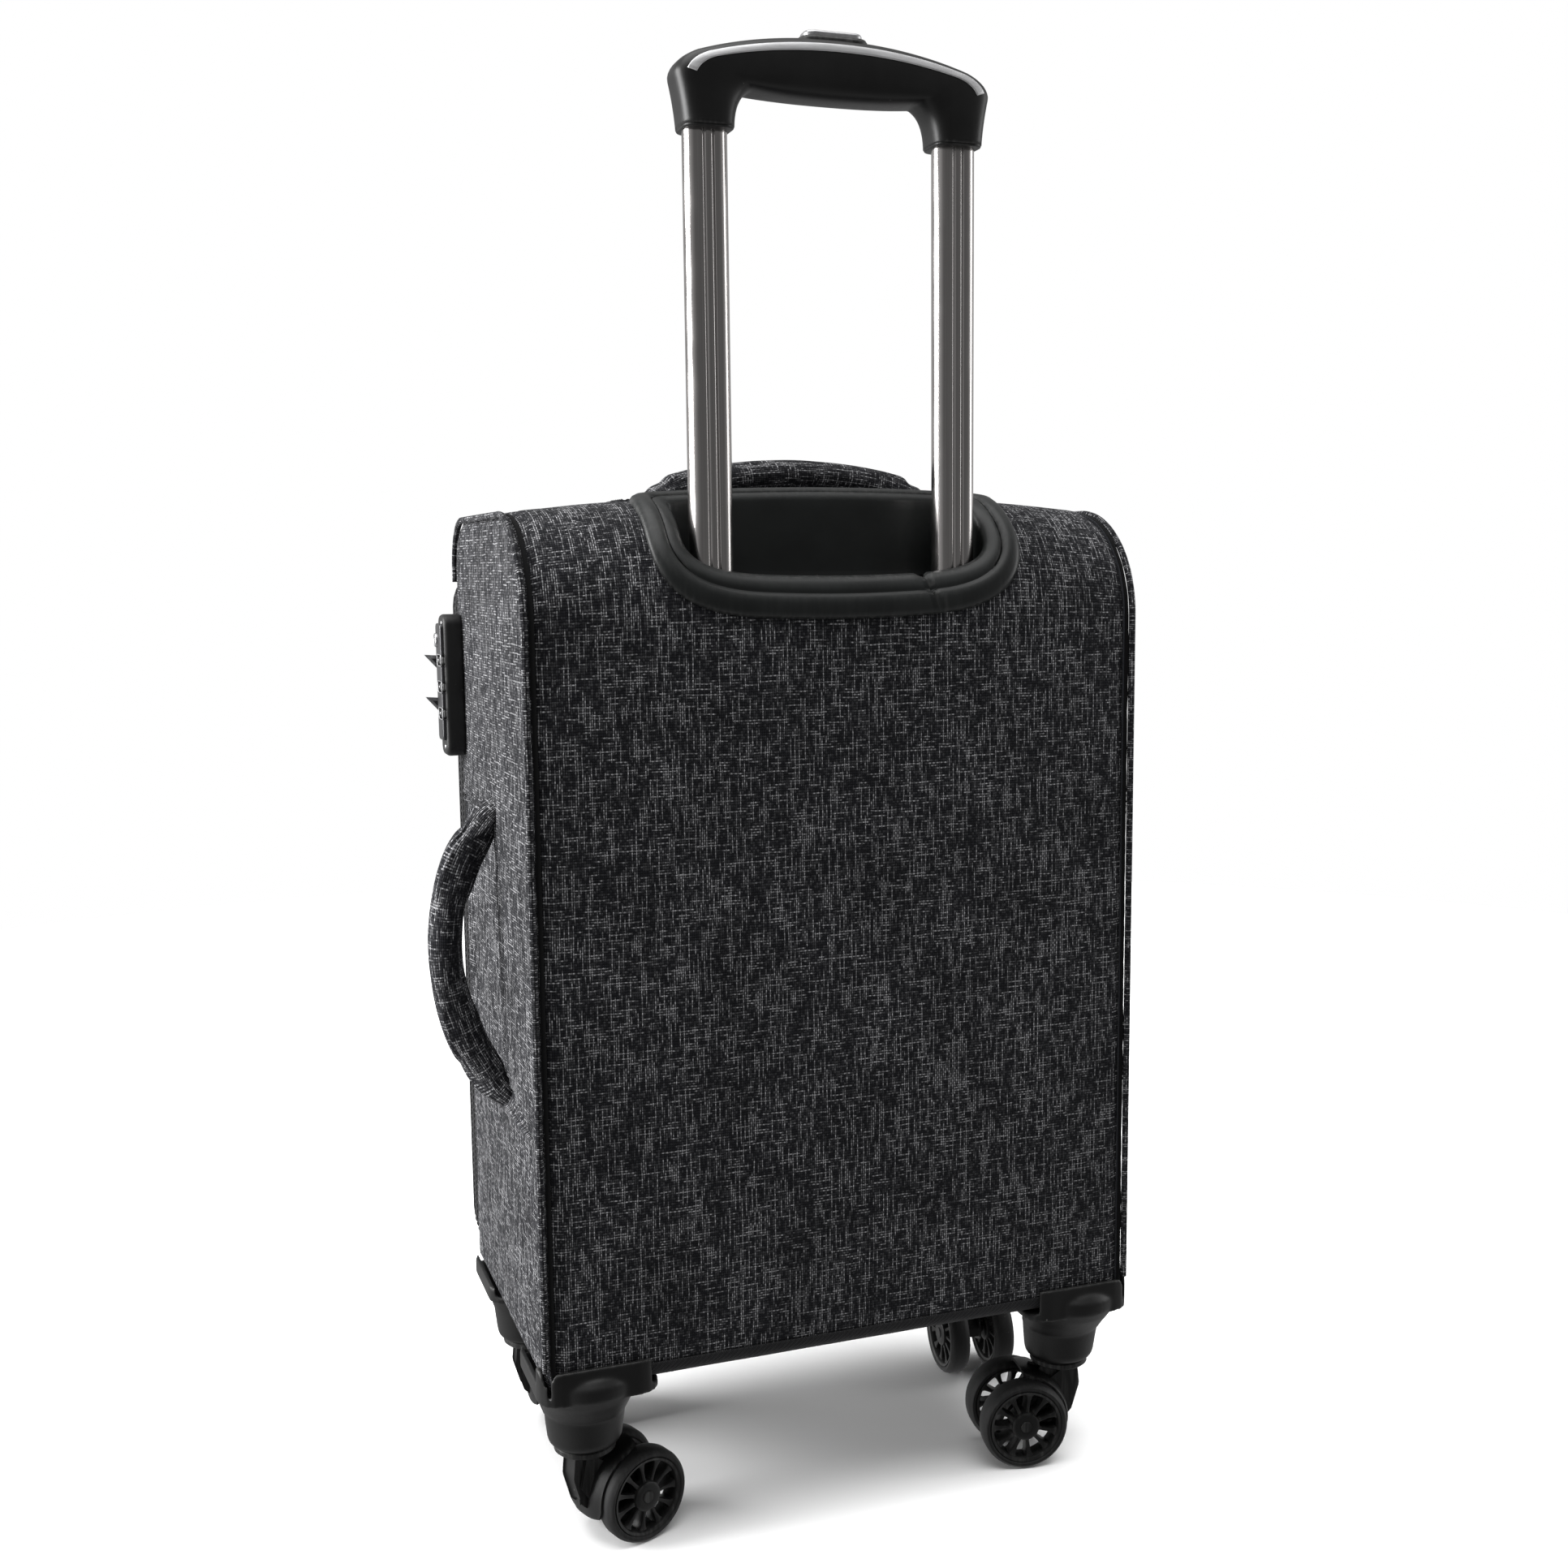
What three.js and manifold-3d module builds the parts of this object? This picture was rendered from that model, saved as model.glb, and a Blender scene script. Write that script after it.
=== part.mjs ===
// Softside upright suitcase on four spinner casters, with a three-section trolley handle.
// Millimetres, +Z up, the back panel faces +Y and the zipped lid faces -Y.
// Places are written in the case's own frame: x = 0 is the middle of the case, y = 0 is the
// outer face of the back panel and z = 0 is the floor. The last lines move the whole group so
// that its origin is the middle of its footprint.
import * as THREE from 'three';
import { mergeVertices } from 'three/addons/utils/BufferGeometryUtils.js';
import Module from 'manifold-3d';

// ---- driving dimensions -------------------------------------------------------------------
const GAP = 0.35;                 // air between separate pieces
const CASE_HALF = 169;            // half width of the body over the side panels
const CASE_DEPTH = 198;           // back panel to the main zip
const CASE_BOTTOM = 100;
const SIDE_TOP = 551;             // top of the side panels
const CROWN = 9;                  // how much higher the top is in the middle
const CROWN_START = 470;          // the crown fades in above this height
const BACK_RADIUS = 58;           // rounded corner from back to top
const FRONT_RADIUS = 30;          // rounded corner from top to front
const FOOT_RADIUS = 10;
const PANEL = 4;                  // padded board and fabric
const SIDE_PANEL = 5;
const TOP_SEAM_Y = -62;           // where the back panel ends on top
const PIPING_RADIUS = 1.6;

const TUBE_X = 67.8;              // trolley tubes, from the middle
const TUBE_Y = -18;
const UPPER_TUBE = [23, 15];      // outer width and depth of each section
const MID_TUBE = [26.4, 18.4];
const SLEEVE_TUBE = [30, 22];
const TUBE_WALL = 1.2;
const GRIP_FOOT = 737.5;          // lower end of the grip's legs, one section out
const GRIP_TOP = 784;
const GRIP_SOCKET = 16;
const CUP_FLOOR = 505;

const LID_HALF = 165;
const LID_TOP = 522;
const LID_BACK = -CASE_DEPTH - 0.4;
const LID_FRONT = -223;
const LID_CORNER = 22;

const CASTER_X = 143;             // swivel axes
const CASTER_Y = [-30, -170];
const WHEEL_RADIUS = 25.6;
const WHEEL_WIDTH = 13;
const WHEEL_SPACING = 30;
const TRAIL = 26;                 // axle behind the swivel axis
const HOUSING_BOTTOM = 60;
const HOUSING_RADIUS = [19.5, 27]; // at its bottom and at its top
const CASTER_HEADING = { back_right: 200, back_left: -10, front_right: 180, front_left: 85 };

// ---- materials ----------------------------------------------------------------------------
const finish = (color, roughness, metalness = 0) =>
  () => new THREE.MeshStandardMaterial({ color, roughness, metalness });
const fabric = finish(0x2b2c30, 0.95);
const lining = finish(0x3b3d42, 0.9);
const plastic = finish(0x141415, 0.45);
const rubber = finish(0x0f0f10, 0.7);
const chrome = finish(0xb8b4b2, 0.22, 1);
const satin = finish(0xbcbdc0, 0.35, 1);

// ---- solids and booleans ------------------------------------------------------------------
const wasm = await Module();
wasm.setup();

function toSolid(geometry) {
  const bare = geometry.clone();
  bare.deleteAttribute('normal');
  bare.deleteAttribute('uv');
  const merged = mergeVertices(bare, 1e-4);
  const mesh = new wasm.Mesh({
    numProp: 3,
    vertProperties: new Float32Array(merged.attributes.position.array),
    triVerts: new Uint32Array(merged.index.array),
  });
  return new wasm.Manifold(mesh);
}

function toGeometry(solid) {
  const mesh = solid.getMesh();
  const geometry = new THREE.BufferGeometry();
  geometry.setAttribute('position', new THREE.BufferAttribute(mesh.vertProperties, 3));
  geometry.setIndex(new THREE.BufferAttribute(mesh.triVerts, 1));
  return geometry;
}

const join = (...parts) => toGeometry(parts.map(toSolid).reduce((a, b) => a.add(b)));
const cut = (base, ...tools) => {
  const solid = tools.map(toSolid).reduce((a, b) => a.subtract(b), toSolid(base));
  return toGeometry(solid);
};
const common = (a, b) => toGeometry(toSolid(a).intersect(toSolid(b)));

// ---- outlines and extrusions --------------------------------------------------------------
function roundedRect(width, height, radius, cx = 0, cy = 0) {
  const [x, y] = [width / 2 - radius, height / 2 - radius];
  const shape = new THREE.Shape();
  shape.absarc(cx + x, cy - y, radius, -Math.PI / 2, 0);
  shape.absarc(cx + x, cy + y, radius, 0, Math.PI / 2);
  shape.absarc(cx - x, cy + y, radius, Math.PI / 2, Math.PI);
  shape.absarc(cx - x, cy - y, radius, Math.PI, 1.5 * Math.PI);
  return shape;
}

function polygon(points) {
  return new THREE.Shape(points.map(([x, y]) => new THREE.Vector2(x, y)));
}

const basis = (...axes) =>
  new THREE.Matrix4().makeBasis(...axes.map((v) => new THREE.Vector3(...v)));
const BASIS = {
  x: basis([0, 1, 0], [0, 0, 1], [1, 0, 0]),
  y: basis([1, 0, 0], [0, 0, 1], [0, -1, 0]),
  z: new THREE.Matrix4(),
};

// Extrudes a shape along an axis between two places. A shape for x is drawn in (y, z), one for
// y in (x, z) and one for z in (x, y).
function extrude(shape, axis, from, to, { segments = 2, steps = 1 } = {}) {
  const options = { depth: to - from, bevelEnabled: false, curveSegments: segments, steps };
  const geometry = new THREE.ExtrudeGeometry(shape, options).applyMatrix4(BASIS[axis]);
  const start = { x: [from, 0, 0], y: [0, to, 0], z: [0, 0, from] }[axis];
  return geometry.translate(...start);
}

function box(x0, x1, y0, y1, z0, z1) {
  const geometry = new THREE.BoxGeometry(x1 - x0, y1 - y0, z1 - z0);
  return geometry.translate((x0 + x1) / 2, (y0 + y1) / 2, (z0 + z1) / 2);
}

function cylinder(radius, from, to, axis, cx, cy, sides = 20) {
  const geometry = new THREE.CylinderGeometry(radius, radius, to - from, sides);
  geometry.rotateX(Math.PI / 2).translate(0, 0, (from + to) / 2);
  geometry.applyMatrix4(axis === 'z' ? BASIS.z : BASIS[axis]);
  if (axis === 'x') return geometry.translate(0, cx, cy);
  if (axis === 'y') return geometry.translate(cx, 0, cy);
  return geometry.translate(cx, cy, 0);
}

// Profile of the body seen from the side, in (y, z), drawn inwards by an inset.
function sideOutline(inset) {
  const [back, front] = [-inset, inset - CASE_DEPTH];
  const [bottom, top] = [CASE_BOTTOM + inset, SIDE_TOP - inset];
  const radii = [BACK_RADIUS, FRONT_RADIUS, FOOT_RADIUS];
  const [backR, frontR, footR] = radii.map((r) => Math.max(r - inset, 2));
  const shape = new THREE.Shape();
  shape.absarc(front + footR, bottom + footR, footR, Math.PI, 1.5 * Math.PI);
  shape.absarc(back - footR, bottom + footR, footR, -Math.PI / 2, 0);
  shape.absarc(back - backR, top - backR, backR, 0, Math.PI / 2);
  shape.absarc(front + frontR, top - frontR, frontR, Math.PI / 2, Math.PI);
  return shape;
}

// Raises the middle of the top, fading out towards the sides and down the walls.
function crowned(geometry) {
  const place = geometry.attributes.position;
  for (let i = 0; i < place.count; i += 1) {
    const across = Math.max(0, 1 - (place.getX(i) / CASE_HALF) ** 2);
    const rise = THREE.MathUtils.smoothstep(place.getZ(i), CROWN_START, SIDE_TOP - 8);
    place.setZ(i, place.getZ(i) + CROWN * across * rise);
  }
  return geometry;
}

// A band of the body's wall between two insets, running right across it.
function wallBand(outer, inner, half, steps = 6) {
  const shape = sideOutline(outer);
  shape.holes.push(new THREE.Path(sideOutline(inner).getPoints(3)));
  return extrude(shape, 'x', -half, half, { segments: 3, steps });
}

// ---- scene graph --------------------------------------------------------------------------
const suitcase = new THREE.Group();
suitcase.name = 'softside_upright_suitcase';

function add(name, geometry, material) {
  const mesh = new THREE.Mesh(geometry, material());
  mesh.name = name;
  suitcase.add(mesh);
  return mesh;
}

// ---- body shell ---------------------------------------------------------------------------
const INSIDE_HALF = CASE_HALF - SIDE_PANEL - GAP;
const FRONT_WALL_Y = 12 - CASE_DEPTH;     // the shell's front border starts here

// Outline of the trolley cup's border on the back panel: arms, rounded corners and a low arch.
function cupOutline(half, floor, corner, arch, top = 620) {
  const shape = new THREE.Shape();
  shape.moveTo(-half, top);
  shape.lineTo(-half, floor + corner);
  const [knee, bend, foot] = [floor + corner * 0.35, half * 0.82, floor + arch * 0.4];
  shape.bezierCurveTo(-half, knee, -bend, floor + arch, -half * 0.5, foot);
  shape.quadraticCurveTo(0, floor - arch * 0.4, half * 0.5, foot);
  shape.bezierCurveTo(bend, floor + arch, half, knee, half, floor + corner);
  shape.lineTo(half, top);
  return shape;
}

const CUP_BACK_Y = -50;                   // the border's far edge on top
const CUP_WALL_Y = -46;
const borderOutline = cupOutline(102, 494, 40, 4);
const notchOutline = cupOutline(102 + GAP, 494 - GAP, 40, 4);

function makeShell() {
  const wall = crowned(wallBand(0, PANEL, INSIDE_HALF));
  const notch = extrude(notchOutline, 'y', CUP_BACK_Y - GAP, 10, { segments: 6 });
  const back = box(-200, 200, TOP_SEAM_Y, 20, CASE_BOTTOM + 14, 600);
  add('back_panel', cut(common(wall, back), notch), fabric);
  const top = box(-200, 200, FRONT_WALL_Y + GAP, TOP_SEAM_Y - GAP, 400, 600);
  add('top_panel', common(wall, top), fabric);
  const bottom = box(-200, 200, FRONT_WALL_Y + GAP, 20, CASE_BOTTOM - 5, CASE_BOTTOM + 14 - GAP);
  add('bottom_panel', common(wall, bottom), fabric);

  const detail = { segments: 3, steps: 6 };
  const slab = crowned(extrude(sideOutline(0.2), 'x', -INSIDE_HALF, INSIDE_HALF, detail));
  const front = common(slab, box(-200, 200, -CASE_DEPTH - 5, FRONT_WALL_Y, 50, 600));
  const opening = roundedRect(300, 384, 24, 0, (CASE_BOTTOM + LID_TOP) / 2);
  add('front_border', cut(front, extrude(opening, 'y', -CASE_DEPTH - 10, FRONT_WALL_Y + 10)), fabric);

  for (const [name, sign] of [['right', 1], ['left', -1]]) {
    const [inner, outer] = [CASE_HALF - SIDE_PANEL, CASE_HALF];
    const range = sign > 0 ? [inner, outer] : [-outer, -inner];
    add(`side_panel_${name}`, extrude(sideOutline(0.2), 'x', ...range, { segments: 3 }), fabric);
    add(`piping_${name}`, makePiping(sign), fabric);
  }
}

// Fabric-covered cord sewn round the back and top edges of a side panel.
function makePiping(sign) {
  const outline = new THREE.Path();
  outline.moveTo(0, CASE_BOTTOM + 16);
  outline.lineTo(0, SIDE_TOP - BACK_RADIUS);
  outline.absarc(-BACK_RADIUS, SIDE_TOP - BACK_RADIUS, BACK_RADIUS, 0, Math.PI / 2);
  const [frontY, frontZ] = [FRONT_RADIUS - CASE_DEPTH, SIDE_TOP - FRONT_RADIUS];
  outline.lineTo(frontY, SIDE_TOP);
  outline.absarc(frontY, frontZ, FRONT_RADIUS, Math.PI / 2, 0.9 * Math.PI);
  const x = sign * (CASE_HALF + PIPING_RADIUS + GAP);
  const inward = PIPING_RADIUS - 0.4;
  const route = outline.getPoints(4).map((p) => new THREE.Vector3(x, p.x - inward, p.y - inward));
  const path = new THREE.CurvePath();
  route.slice(1).forEach((point, i) => path.add(new THREE.LineCurve3(route[i], point)));
  return sweep(path, roundSection(PIPING_RADIUS, PIPING_RADIUS, 5), 32);
}

function roundSection(a, b, sides) {
  const angles = Array.from({ length: sides }, (_, i) => (2 * Math.PI * (i + 0.5)) / sides);
  return polygon(angles.map((t) => [a * Math.cos(t), b * Math.sin(t)]));
}

function sweep(path, section, steps) {
  return new THREE.ExtrudeGeometry(section, { steps, bevelEnabled: false, extrudePath: path });
}

// ---- trolley ------------------------------------------------------------------------------
function tubeShape([width, depth], x, wall = 0) {
  const shape = roundedRect(width, depth, depth / 2 - 0.5, x, TUBE_Y);
  if (wall) {
    const bore = roundedRect(width - 2 * wall, depth - 2 * wall, depth / 2 - 0.5 - wall, x, TUBE_Y);
    shape.holes.push(new THREE.Path(bore.getPoints(2)));
  }
  return shape;
}

const tube = (size, x, z0, z1, wall = TUBE_WALL) => extrude(tubeShape(size, x, wall), 'z', z0, z1);
const grown = ([width, depth], by) => [width + 2 * by, depth + 2 * by];
const FLOOR_THICKNESS = 3;
const SLEEVE_TOP = CUP_FLOOR - FLOOR_THICKNESS - GAP;
const SLEEVE_BOTTOM = 122;
const MID_TOP = CUP_FLOOR + 5;
const MID_BOTTOM = 134;
const UPPER_BOTTOM = 368;
const ROD_RADIUS = 2.6;

function makeCup() {
  const band = crowned(wallBand(-3, 3, 106, 4));
  const rim = common(band, extrude(borderOutline, 'y', CUP_BACK_Y, 8, { segments: 6 }));
  const lip = extrude(cupOutline(85.5, 512, 24, 3), 'y', CUP_WALL_Y + 3, 12, { segments: 6 });
  const border = cut(rim, lip);
  const inside = crowned(extrude(sideOutline(0.5), 'x', -106, 106, { segments: 3, steps: 4 }));
  const bowl = common(inside, extrude(cupOutline(91, 501.5, 26, 1), 'y', CUP_WALL_Y, -1, { segments: 5 }));
  const cavity = extrude(cupOutline(88, CUP_FLOOR, 24, 1), 'y', CUP_WALL_Y + 3, -3.2, { segments: 5 });
  const holes = [-1, 1].map((s) => tube(grown(MID_TUBE, 0.5), s * TUBE_X, 480, 530, 0));
  add('trolley_cup', cut(join(cut(bowl, cavity), border), lip, ...holes), plastic);
}

function makeTubes() {
  for (const [name, sign] of [['right', 1], ['left', -1]]) {
    const x = sign * TUBE_X;
    add(`sleeve_tube_${name}`, tube(SLEEVE_TUBE, x, SLEEVE_BOTTOM, SLEEVE_TOP), satin);
    add(`mid_tube_${name}`, tube(MID_TUBE, x, MID_BOTTOM, MID_TOP), chrome);
    add(`upper_tube_${name}`, tube(UPPER_TUBE, x, UPPER_BOTTOM, GRIP_FOOT + GRIP_SOCKET - GAP), chrome);
  }
  const foot = roundedRect(2 * TUBE_X + 44, 27, 8, 0, TUBE_Y);
  const seats = [-1, 1].map((s) => tube(grown(SLEEVE_TUBE, GAP), s * TUBE_X, SLEEVE_BOTTOM - GAP, 150, 0));
  add('trolley_foot', cut(extrude(foot, 'z', 108, 130), ...seats), plastic);
}

// Grip outline in (x, z): two legs, a soft belly under the bar and a low arch on top.
function gripOutline() {
  const [outer, bulge, inner] = [81, 85, 54];
  const shape = new THREE.Shape();
  shape.moveTo(inner, GRIP_FOOT);
  shape.lineTo(outer, GRIP_FOOT);
  shape.quadraticCurveTo(outer + 1, GRIP_FOOT + 12, bulge, GRIP_FOOT + 24);
  shape.quadraticCurveTo(bulge, GRIP_FOOT + 31, bulge - 12, GRIP_FOOT + 36);
  shape.quadraticCurveTo(bulge - 45, GRIP_TOP, 0, GRIP_TOP);
  shape.quadraticCurveTo(45 - bulge, GRIP_TOP, 12 - bulge, GRIP_FOOT + 36);
  shape.quadraticCurveTo(-bulge, GRIP_FOOT + 31, -bulge, GRIP_FOOT + 24);
  shape.quadraticCurveTo(-outer - 1, GRIP_FOOT + 12, -outer, GRIP_FOOT);
  shape.lineTo(-inner, GRIP_FOOT);
  shape.quadraticCurveTo(-inner + 1, GRIP_FOOT + 19, -inner + 14, GRIP_FOOT + 20);
  shape.quadraticCurveTo(0, GRIP_FOOT + 16, inner - 14, GRIP_FOOT + 20);
  shape.quadraticCurveTo(inner - 1, GRIP_FOOT + 19, inner, GRIP_FOOT);
  return shape;
}

const GRIP_DEPTH = 28;
const BUTTON = [32, 14];                  // width and depth
const BUTTON_TRAVEL = 3;
const CHANNEL = [GRIP_FOOT + 24, GRIP_FOOT + 32];

function makeGrip() {
  const chamfer = 4;
  const [back, front] = [TUBE_Y + GRIP_DEPTH / 2, TUBE_Y - GRIP_DEPTH / 2];
  const bevel = { bevelThickness: chamfer, bevelSize: 3, bevelOffset: -3, bevelSegments: 2 };
  const options = { depth: GRIP_DEPTH - 2 * chamfer, curveSegments: 4, ...bevel };
  const bar = new THREE.ExtrudeGeometry(gripOutline(), options);
  bar.applyMatrix4(BASIS.y).translate(0, back - chamfer, 0);
  const bore = grown(UPPER_TUBE, GAP);
  const [low, high] = [GRIP_FOOT - 9, GRIP_FOOT + GRIP_SOCKET];
  const sockets = [-1, 1].map((s) => tube(bore, s * TUBE_X, low, high, 0));
  const shafts = [-1, 1].map((s) =>
    cylinder(4, GRIP_FOOT, CHANNEL[1], 'z', s * TUBE_X, TUBE_Y, 12));
  const channel = box(-TUBE_X - 5, TUBE_X + 5, TUBE_Y - 4, TUBE_Y + 4, ...CHANNEL);
  const [halfWide, halfDeep] = [BUTTON[0] / 2 + GAP, BUTTON[1] / 2 + GAP];
  const slot = box(-halfWide, halfWide, TUBE_Y - halfDeep, TUBE_Y + halfDeep, CHANNEL[1] + 3, GRIP_TOP + 5);
  const well = box(-8, 8, TUBE_Y - 3.5, TUBE_Y + 3.5, CHANNEL[0] + 2, GRIP_TOP);
  const band = common(bar, box(-90, 90, back - 1.6, back + 1, GRIP_FOOT + 24, 800));
  add('grip', cut(bar, box(-90, 90, back - 1.6 - GAP, back + 1, GRIP_FOOT + 24 - GAP, 800),
    ...sockets, ...shafts, channel, slot, well), plastic);
  const window = new THREE.Shape();
  window.moveTo(-95, GRIP_FOOT);
  window.lineTo(95, GRIP_FOOT);
  window.lineTo(95, GRIP_FOOT + 21);
  window.quadraticCurveTo(60, GRIP_TOP - 5, 0, GRIP_TOP - 5.5);
  window.quadraticCurveTo(-60, GRIP_TOP - 5, -95, GRIP_FOOT + 21);
  add('grip_trim', cut(band, extrude(window, 'y', back - 5, back + 5)), satin);
  makeButton();
}

function makeButton() {
  const cap = roundedRect(BUTTON[0], BUTTON[1], 5, 0, TUBE_Y);
  const stemFoot = CHANNEL[0] + 3 + 3 + GAP;
  const stem = box(-7, 7, TUBE_Y - 2.8, TUBE_Y + 2.8, stemFoot, GRIP_TOP - 2);
  add('grip_button', join(extrude(cap, 'z', CHANNEL[1] + 3.3 + BUTTON_TRAVEL, GRIP_TOP + 4), stem), satin);
  const bar = box(-TUBE_X - 3, TUBE_X + 3, TUBE_Y - 3, TUBE_Y + 3, CHANNEL[0] + 3.2, CHANNEL[0] + 6);
  const rods = [-1, 1].map((s) =>
    cylinder(ROD_RADIUS, UPPER_BOTTOM + 8, CHANNEL[0] + 4, 'z', s * TUBE_X, TUBE_Y, 10));
  add('push_rods', join(bar, ...rods), satin);
}

// ---- soft handles -------------------------------------------------------------------------
const SIDE_HANDLE_Y = -95;
const SIDE_HANDLE_RADIUS = 9.5;

function makeHandles() {
  const face = CASE_HALF + GAP;
  const route = [[160, 397], [176, 386], [191, 358], [197, 318], [191, 276], [177, 246], [160, 232]];
  const path = new THREE.CatmullRomCurve3(route.map(([x, z]) => new THREE.Vector3(x, SIDE_HANDLE_Y, z)));
  const loop = sweep(path, roundSection(SIDE_HANDLE_RADIUS, SIDE_HANDLE_RADIUS, 10), 18);
  add('side_handle', cut(loop, box(100, face, -200, 0, 150, 450)), fabric);

  const [half, rest] = [87, SIDE_TOP + CROWN + GAP];
  const shape = new THREE.Shape();
  shape.moveTo(-half, rest);
  shape.quadraticCurveTo(-half * 0.35, rest + 2.5, 0, rest + 3);
  shape.quadraticCurveTo(half * 0.35, rest + 2.5, half, rest);
  shape.quadraticCurveTo(half * 0.45, rest + 19, 0, rest + 19.5);
  shape.quadraticCurveTo(-half * 0.45, rest + 19, -half, rest);
  add('top_handle', extrude(shape, 'y', -101, -79, { segments: 8 }), fabric);
}

// ---- lock on the right side, beside the main zip --------------------------------------------
const LOCK_Z = [414, 496.5];
const LOCK_Y = [-198, -177];
const LOCK_FACE = 180;
const DIAL_Z = [439, 454.5, 470];
const DIAL_Y = -184.5;
const DIAL_X = 176.6;
const DIAL_RADIUS = 5.6;
const KEY_Y = -193;
const KEY_Z = 481.5;

function makeLock() {
  const [z0, z1] = LOCK_Z;
  const [midY, midZ] = [(LOCK_Y[0] + LOCK_Y[1]) / 2, (z0 + z1) / 2];
  const outline = roundedRect(LOCK_Y[1] - LOCK_Y[0], z1 - z0, 4, midY, midZ);
  const pockets = DIAL_Z.map((z) => box(170.7, 200, DIAL_Y - 6.1, DIAL_Y + 6.1, z - 2.9, z + 2.9));
  const keyway = cylinder(4.2 + GAP, 172, 200, 'x', KEY_Y, KEY_Z, 20);
  const housing = extrude(outline, 'x', CASE_HALF + GAP, LOCK_FACE);
  add('lock_housing', cut(housing, ...pockets, keyway), plastic);
  const plate = roundedRect(17, 68, 2.5, midY, midZ + 2);
  const plateSolid = extrude(plate, 'x', LOCK_FACE + GAP, LOCK_FACE + 1.8);
  add('lock_plate', cut(plateSolid, ...pockets, keyway), satin);
  DIAL_Z.forEach((z, i) => {
    add(`lock_dial_${i + 1}`, cylinder(DIAL_RADIUS, z - 2.5, z + 2.5, 'z', DIAL_X, DIAL_Y, 20), plastic);
  });
  const key = cylinder(4.2, 172.4, LOCK_FACE + 3, 'x', KEY_Y, KEY_Z, 20);
  add('lock_key_cylinder', cut(key, box(180, 190, KEY_Y - 0.7, KEY_Y + 0.7, KEY_Z - 3, KEY_Z + 3)), satin);
}

// ---- zip sliders ----------------------------------------------------------------------------
const MAIN_ZIP_Y = -202.6;
const MAIN_SLIDER_Z = { upper: 466, lower: 441 };

function makeSliders() {
  for (const [name, z] of Object.entries(MAIN_SLIDER_Z)) {
    const x = CASE_HALF + GAP;
    const body = extrude(roundedRect(6.6, 12, 2.5, MAIN_ZIP_Y, z), 'x', x, x + 4.6);
    const tab = extrude(polygon([[x + 4, z - 5], [x + 9, z - 4], [x + 19, z + 7], [x + 4, z + 6]]),
      'y', MAIN_ZIP_Y - 1, MAIN_ZIP_Y + 1);
    add(`main_zip_slider_${name}`, join(body, tab), satin);
  }
  for (const [name, z] of [['large', POCKET.large.zip], ['small', POCKET.small.zip]]) {
    const y = LID_FRONT - GAP;
    const body = extrude(roundedRect(12, 6.6, 2.5, ZIP_END_X, z), 'y', y - 3.4, y);
    const tab = extrude(roundedRect(26, 6, 2.4, ZIP_END_X - 14, z), 'y', y - 5.2, y - 3);
    add(`pocket_zip_slider_${name}`, join(body, tab), satin);
  }
}

// ---- zipped lid -----------------------------------------------------------------------------
const LID_MID_Z = (CASE_BOTTOM + 3 + LID_TOP) / 2;
const LID_HEIGHT = LID_TOP - CASE_BOTTOM - 3;
const POCKET = {
  large: { bottom: 122, top: 388, zip: 394, depth: 9 },
  small: { bottom: 401, top: 494, zip: 500, depth: 6 },
};
const ZIP_END_X = 136;

function makeLid() {
  const outline = (inset) => {
    const [width, height] = [2 * (LID_HALF - inset), LID_HEIGHT - 2 * inset];
    return roundedRect(width, height, LID_CORNER - inset, 0, LID_MID_Z);
  };
  const rim = outline(0);
  rim.holes.push(new THREE.Path(outline(4).getPoints(6)));
  add('lid_wall', extrude(rim, 'y', LID_FRONT + 4 + GAP, LID_BACK), fabric);
  add('lid_panel', extrude(outline(0), 'y', LID_FRONT, LID_FRONT + 4), fabric);
  for (const [name, { bottom, top, depth }] of Object.entries(POCKET)) {
    const shape = roundedRect(296, top - bottom, 14, 0, (top + bottom) / 2);
    add(`pocket_${name}`, extrude(shape, 'y', LID_FRONT - GAP - depth, LID_FRONT - GAP), fabric);
  }
  const divider = roundedRect(2 * LID_HALF - 20, LID_HEIGHT - 20, 14, 0, LID_MID_Z);
  add('lid_divider', extrude(divider, 'y', LID_FRONT + 4 + GAP, LID_FRONT + 5.5), lining);
}

// ---- inside the main compartment --------------------------------------------------------------
function makeInside() {
  const [cover, half] = [-33, INSIDE_HALF - 1];
  add('trolley_cover', box(-half, half, cover - 2, cover, CASE_BOTTOM + 5, CUP_FLOOR - 14), lining);
  const strapY = [cover - 2 - GAP - 2, cover - 2 - GAP];
  const reach = { x: 140, low: 150, high: 450, middle: 300 };
  const straps = [-1, 1].map((sign) => {
    const run = new THREE.Vector2(2 * reach.x * sign, reach.high - reach.low);
    const side = new THREE.Vector2(-run.y, run.x).setLength(12);
    const start = new THREE.Vector2(-sign * reach.x, reach.low);
    const end = start.clone().add(run);
    const near = [start.clone().add(side), start.clone().sub(side)];
    const far = [end.clone().sub(side), end.clone().add(side)];
    return extrude(new THREE.Shape([...near, ...far]), 'y', ...strapY);
  });
  add('packing_straps', join(...straps), lining);
  const clasp = roundedRect(56, 38, 6, 0, reach.middle);
  add('strap_buckle', extrude(clasp, 'y', strapY[0] - GAP - 6, strapY[0] - GAP), plastic);
}

// ---- casters ----------------------------------------------------------------------------------
const GUARD = { inner: 108, depth: 66, top: 114, floor: 95.5, wall: 3 };

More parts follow.
